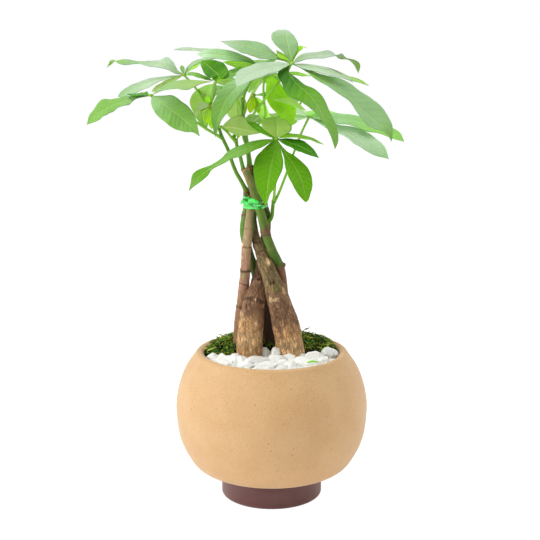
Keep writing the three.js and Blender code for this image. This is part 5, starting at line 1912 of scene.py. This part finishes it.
@dataclass
class Foliage:
    """Builds the leafy shoots: blades with ribs and waved edges, stalks and hubs."""

    columns: int = 20
    row: float = 1.2 * MM
    least_rows: int = 20
    fold: float = 0.1
    thickness: float = 0.5 * MM
    groove: float = 0.8 * MM
    nearest_spots: float = 0.012
    width_stretch: float = 20
    stalk_step: float = 2 * MM
    petiole_radii: tuple[float, float] = (1.35 * MM, 0.95 * MM)
    stem_tint: Colour = paint(92, 148, 30)
    root_tint: Colour = paint(132, 96, 52)
    top: LeafFace = LeafFace(
        "leaf_top", rough=0.42, gloss=0.17, vein=paint(192, 218, 112), vein_share=0.42,
        wash=paint(120, 180, 90), wash_share=0.0,
    )
    under: LeafFace = LeafFace(
        "leaf_under", rough=0.55, gloss=0.3, vein=paint(206, 222, 130), vein_share=0.6,
        wash=paint(160, 196, 110), wash_share=0.15,
    )

    @staticmethod
    def face_of(lean: float, turn: float) -> Vector:
        """Return the direction that a leaflet's upper face looks to."""
        tip, side = math.radians(lean), math.radians(turn)
        return Vector((math.sin(tip) * math.sin(side), -math.sin(tip) * math.cos(side), math.cos(tip)))

    def cuts(self, hub: Vector, leaf: Leaflet) -> list[Cut]:
        """Cut a leaflet across its rib into evenly spaced rows.

        Args:
            hub: the middle of the frond's hub.
            leaf: the leaflet.

        Returns:
            The cuts from the hub to the tip.
        """
        points = EYE.sights(leaf.rib)
        start = hub + (points[0] - hub).normalized() * KNOB_RADIUS * 0.7
        route = Route([start, *points])
        rows = max(self.least_rows, round(route.length / self.row))
        cuts = []
        for row in range(rows + 1):
            share = row / rows
            along = route.along(share)
            face = self.face_of(read_along(leaf.lean, share), leaf.turn)
            normal = (face - along * face.dot(along)).normalized()
            cuts.append(Cut(route.at(share), along, normal, along.cross(normal)))
        return cuts

    def outward(self, cut: Cut, side: int) -> Vector:
        """Return the direction from the rib to one margin, with the fold along the rib."""
        return cut.across * (side * math.cos(self.fold)) + cut.normal * math.sin(self.fold)

    def met(self, spot: Spot, cuts: Sequence[Cut], side: int) -> tuple[float, float, float]:
        """Find where the sight line through a spot in the picture meets one half of a leaflet.

        Args:
            spot: the place in the picture.
            cuts: the leaflet's cuts.
            side: 1 for one half, -1 for the other.

        Returns:
            How far it misses the nearest cut, the share of the rib, and the way out from the rib in metres.
        """
        eye = EYE.place()
        ray = EYE.sight((*spot, 0)) - eye
        best = (math.inf, 0.0, 0.0)
        for k, cut in enumerate(cuts):
            out = self.outward(cut, side)
            facing = cut.along.cross(out)
            point = eye + ray * ((cut.centre - eye).dot(facing) / ray.dot(facing))
            miss, width = (point - cut.centre).dot(cut.along), (point - cut.centre).dot(out)
            best = min(best, (abs(miss) + 0.05 * abs(width), k / (len(cuts) - 1), width))
        return best

    def half_widths(self, leaf: Leaflet, cuts: Sequence[Cut], side: int) -> list[float]:
        """Work out a leaflet's half width on one side at each cut.

        Args:
            leaf: the leaflet.
            cuts: its cuts.
            side: 1 for one half, -1 for the other.

        Returns:
            The half widths in metres.
        """
        rows = len(cuts) - 1
        if not leaf.edges:
            fall = (1 - leaf.peak) / leaf.peak
            plain = []
            for share in (k / rows for k in range(rows + 1)):
                swell = share / leaf.peak * ((1 - share) / (1 - leaf.peak)) ** fall
                plain.append(swell * leaf.wide / 2 * MM)
        else:
            spots = [self.met(spot, cuts, side)[1:] for edge in leaf.edges for spot in edge]
            known = sorted((share, width) for share, width in spots if width > 0)
            profile = [(0.0, 0.0), *known, (1.0, 0.0)]
            apart = [a for a, b in zip(profile, profile[1:]) if b[0] - a[0] > self.nearest_spots]
            stretch = self.width_stretch
            line = Route([Vector((share, width * stretch, 0)) for share, width in (*apart, profile[-1])])
            reach = [place.x for place in line.places]
            plain = []
            for k in range(rows + 1):
                n = min(max(bisect.bisect_right(reach, k / rows), 1), len(reach) - 1)
                run = max(reach[n] - reach[n - 1], 1e-9)
                part = min(1.0, max(0.0, (k / rows - reach[n - 1]) / run))
                plain.append(between(line.places[n - 1].y, line.places[n].y, part) / stretch)
        least = [between(0.7, 0.2, eased(k / rows, 0.4, 0.98)) * MM for k in range(rows + 1)]
        return [max(width, low) for width, low in zip(plain, least)]

    def blade(self, body: Body, hub: Vector, leaf: Leaflet) -> None:
        """Add one leaflet's blade.

        Args:
            body: the mesh to add to.
            hub: the middle of the frond's hub.
            leaf: the leaflet.
        """
        cuts = self.cuts(hub, leaf)
        rows = len(cuts) - 1
        halves = {side: self.half_widths(leaf, cuts, side) for side in (1, -1)}
        widest = max(max(widths) for widths in halves.values())
        phase = cuts[0].centre.x / MM
        tones = [shaded(tone.value, leaf.light) for tone in leaf.tones]
        made = bmesh.ops.create_grid(body.bm, x_segments=rows, y_segments=self.columns, size=0.5)["verts"]
        for vert in made:
            share = vert.co.x + 0.5
            side = math.copysign(abs(vert.co.y * 2) ** 1.3, -vert.co.y)
            row = round(share * rows)
            cut, away, sign = cuts[row], abs(side), 1 if side > 0 else -1
            half = halves[sign][row]
            width = half / widest
            wave = math.sin(math.tau * 3.2 * share + phase + side) * width * away
            wave += 0.3 * math.sin(math.tau * 7.5 * share + phase * 2 - side * 3) * width * away
            groove = bell(away * half / self.groove) * min(1, 4 * (1 - share))
            lift = leaf.wave * leaf.wide * wave - 0.3 * groove
            vert.co = cut.centre + self.outward(cut, sign) * (away * half) + cut.normal * (lift * MM)
            body.set(vert, read_along(tones, share, blended), (share, side, half))

    def stalk(
        self, body: Body, points: Sequence[Vector], radii: tuple[float, float], tints: tuple[Colour, Colour],
    ) -> None:
        """Add one round stalk.

        Args:
            body: the mesh to add to.
            points: the points it runs through.
            radii: its radius in metres at both ends.
            tints: its colour at both ends.
        """
        joint = 0.06
        route = Route(points)
        steps = max(8, round(route.length / self.stalk_step))

        def radius_at(share: float, angle: float) -> float:
            """Taper the stalk and swell it where it joins."""
            swell = 1 + 0.35 * bell(share / joint) + 0.3 * bell((1 - share) / joint)
            return between(*radii, share) * swell * (1 + 0.04 * math.cos(angle * 3 + share * 9))

        def dress(vert: Vert, share: float, angle: float, radius: float) -> None:
            """Store the stalk's colour and its straightened place."""
            grain = straight(route, share, angle, radius)
            body.set(vert, blended(*tints, eased(share, 0.0, 0.07) * 0.9 + 0.1 * share), grain)

        bar(body.bm, route, radius_at, sides=12, steps=steps, dress=dress)

    def build(self) -> None:
        """Build every shoot as a piece of blades and a piece of stalks."""
        faces = [self.top.material(), self.under.material()]
        green = StalkGreen().material()
        for name, shoot in SHOOTS.items():
            blades, stalks = Body(), Body()
            radii = (shoot.thick[0] / 2 * MM, shoot.thick[1] / 2 * MM)
            self.stalk(stalks, EYE.sights(shoot.stem), radii, (self.root_tint, self.stem_tint))
            for frond in shoot.fronds:
                points = EYE.sights((*frond.petiole, frond.hub))
                hub = points[-1]
                self.stalk(stalks, points, self.petiole_radii, (self.stem_tint, frond.tint))
                self.knob(stalks, hub, frond.tint)
                for leaf in frond.leaflets.values():
                    self.blade(blades, hub, leaf)
            to_piece(f"{name}_stalks", stalks.bm, [green], [name])
            piece = to_piece(f"{name}_blades", blades.bm, faces, [name])
            thick = piece.modifiers.new("thickness", "SOLIDIFY")
            thick.thickness = self.thickness
            thick.offset = 0.0
            thick.material_offset = 1
            thick.material_offset_rim = 0

    @staticmethod
    def knob(body: Body, hub: Vector, tint: Colour) -> None:
        """Add the small knob where the leaflets meet.

        Args:
            body: the mesh to add to.
            hub: its middle.
            tint: its colour.
        """
        made = bmesh.ops.create_icosphere(body.bm, subdivisions=3, radius=KNOB_RADIUS * 0.85)["verts"]
        for vert in made:
            body.set(vert, tint, vert.co)
            vert.co = hub + Vector((vert.co.x, vert.co.y, vert.co.z * 0.8))


@dataclass(frozen=True)
class Lamp:
    """A soft square light: where it hangs, how wide it is in metres, and its power in watts."""

    place: Place
    size: float
    power: float


@dataclass
class Studio:
    """A pale floor, soft light all round, and the camera at the photograph's angle."""

    near_sky: float = 0.26
    far_sky: float = 0.76
    floor_glow: float = 0.1
    floor_white: float = 1.25
    floor_share: float = 0.74
    aim: Place = (0, 0, 0.25)
    lamps: dict[str, Lamp] = field(default_factory=lambda: {
        "key": Lamp((-1.45, -0.6, 0.9), 0.9, 17),
        "fill": Lamp((1.4, 0.1, 0.9), 0.9, 3),
        "top": Lamp((0.0, -0.1, 1.9), 1.2, 16),
    })

    def tent(self) -> bpy.types.World:
        """Build the light tent, dimmer on the viewer's side and white to the camera.

        Returns:
            The world.
        """
        world = bpy.data.worlds.new("studio")
        world.use_nodes = True
        graph = Graph(world.node_tree)
        heading = graph.wire("ShaderNodeTexCoord", {}, {}, "Generated")
        away = graph.split(heading)[1].step(-1.0, 0.25)
        seen = graph.wire("ShaderNodeLightPath", {}, {}, "Is Camera Ray")
        lit = self.near_sky + (self.far_sky - self.near_sky) * away
        strength = seen + lit - seen * lit
        back = graph.wire("ShaderNodeBackground", {}, {"Color": (1, 1, 1, 1), "Strength": strength})
        graph.node("ShaderNodeOutputWorld", {}, {"Surface": back})
        return world

    def paper(self) -> Material:
        """Build the floor's paper, white to the camera but for soft shadows.

        Returns:
            The material.
        """
        graph = Finish("floor_paper", 0.9)
        graph.wear("Base Color", (0.93, 0.93, 0.93, 1))
        graph.wear("Emission Color", (1, 1, 1, 1))
        graph.wear("Emission Strength", self.floor_glow)
        white = graph.wire("ShaderNodeBsdfPrincipled", {}, {
            "Base Color": (0, 0, 0, 1), "Specular IOR Level": 0.0,
            "Emission Color": (1, 1, 1, 1), "Emission Strength": self.floor_white,
        })
        seen = graph.wire("ShaderNodeLightPath", {}, {}, "Is Camera Ray")
        lit = Wire(graph, graph.shader.outputs[0])
        both = graph.wire("ShaderNodeMixShader", {}, {0: seen * self.floor_share, 1: lit, 2: white})
        graph.feed(graph.out.inputs["Surface"], both)
        return graph.material

    def build(self) -> None:
        """Build the studio."""
        scene = bpy.context.scene
        scene.view_settings.view_transform = "Standard"
        scene.world = self.tent()
        for name, lamp in self.lamps.items():
            light = bpy.data.lights.new(name, "AREA")
            light.energy = lamp.power
            light.size = lamp.size
            hung = bpy.data.objects.new(name, light)
            hung.location = lamp.place
            line = Vector(self.aim) - Vector(lamp.place)
            hung.rotation_euler = line.to_track_quat("-Z", "Y").to_euler()
            scene.collection.objects.link(hung)
        bm = bmesh.new()
        bmesh.ops.create_grid(bm, x_segments=1, y_segments=1, size=4)
        mesh = bpy.data.meshes.new("floor")
        bm.to_mesh(mesh)
        bm.free()
        mesh.materials.append(self.paper())
        floor = bpy.data.objects.new("floor", mesh)
        scene.collection.objects.link(floor)
        camera = bpy.data.cameras.new("camera")
        camera.sensor_width = 36
        camera.lens = EYE.focal / (2 * EYE.centre) * camera.sensor_width
        view = bpy.data.objects.new("camera", camera)
        view.location = Vector((EYE.x, -EYE.distance, EYE.height)) * MM
        view.rotation_euler = (math.pi / 2 - EYE.pitch, 0, 0)
        scene.collection.objects.link(view)
        scene.camera = view


def main() -> None:
    """Build the plant, piece by piece."""
    logging.basicConfig(level=logging.INFO, format="%(message)s")
    Studio().build()
    Bowl().build()
    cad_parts["soil"].data.materials.clear()
    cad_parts["soil"].data.materials.append(Earth().material())
    PebbleBed().build()
    MossCushion().build()
    CaneBark().build()
    Tie().build()
    Foliage().build()


if __name__ == "__main__":
    main()
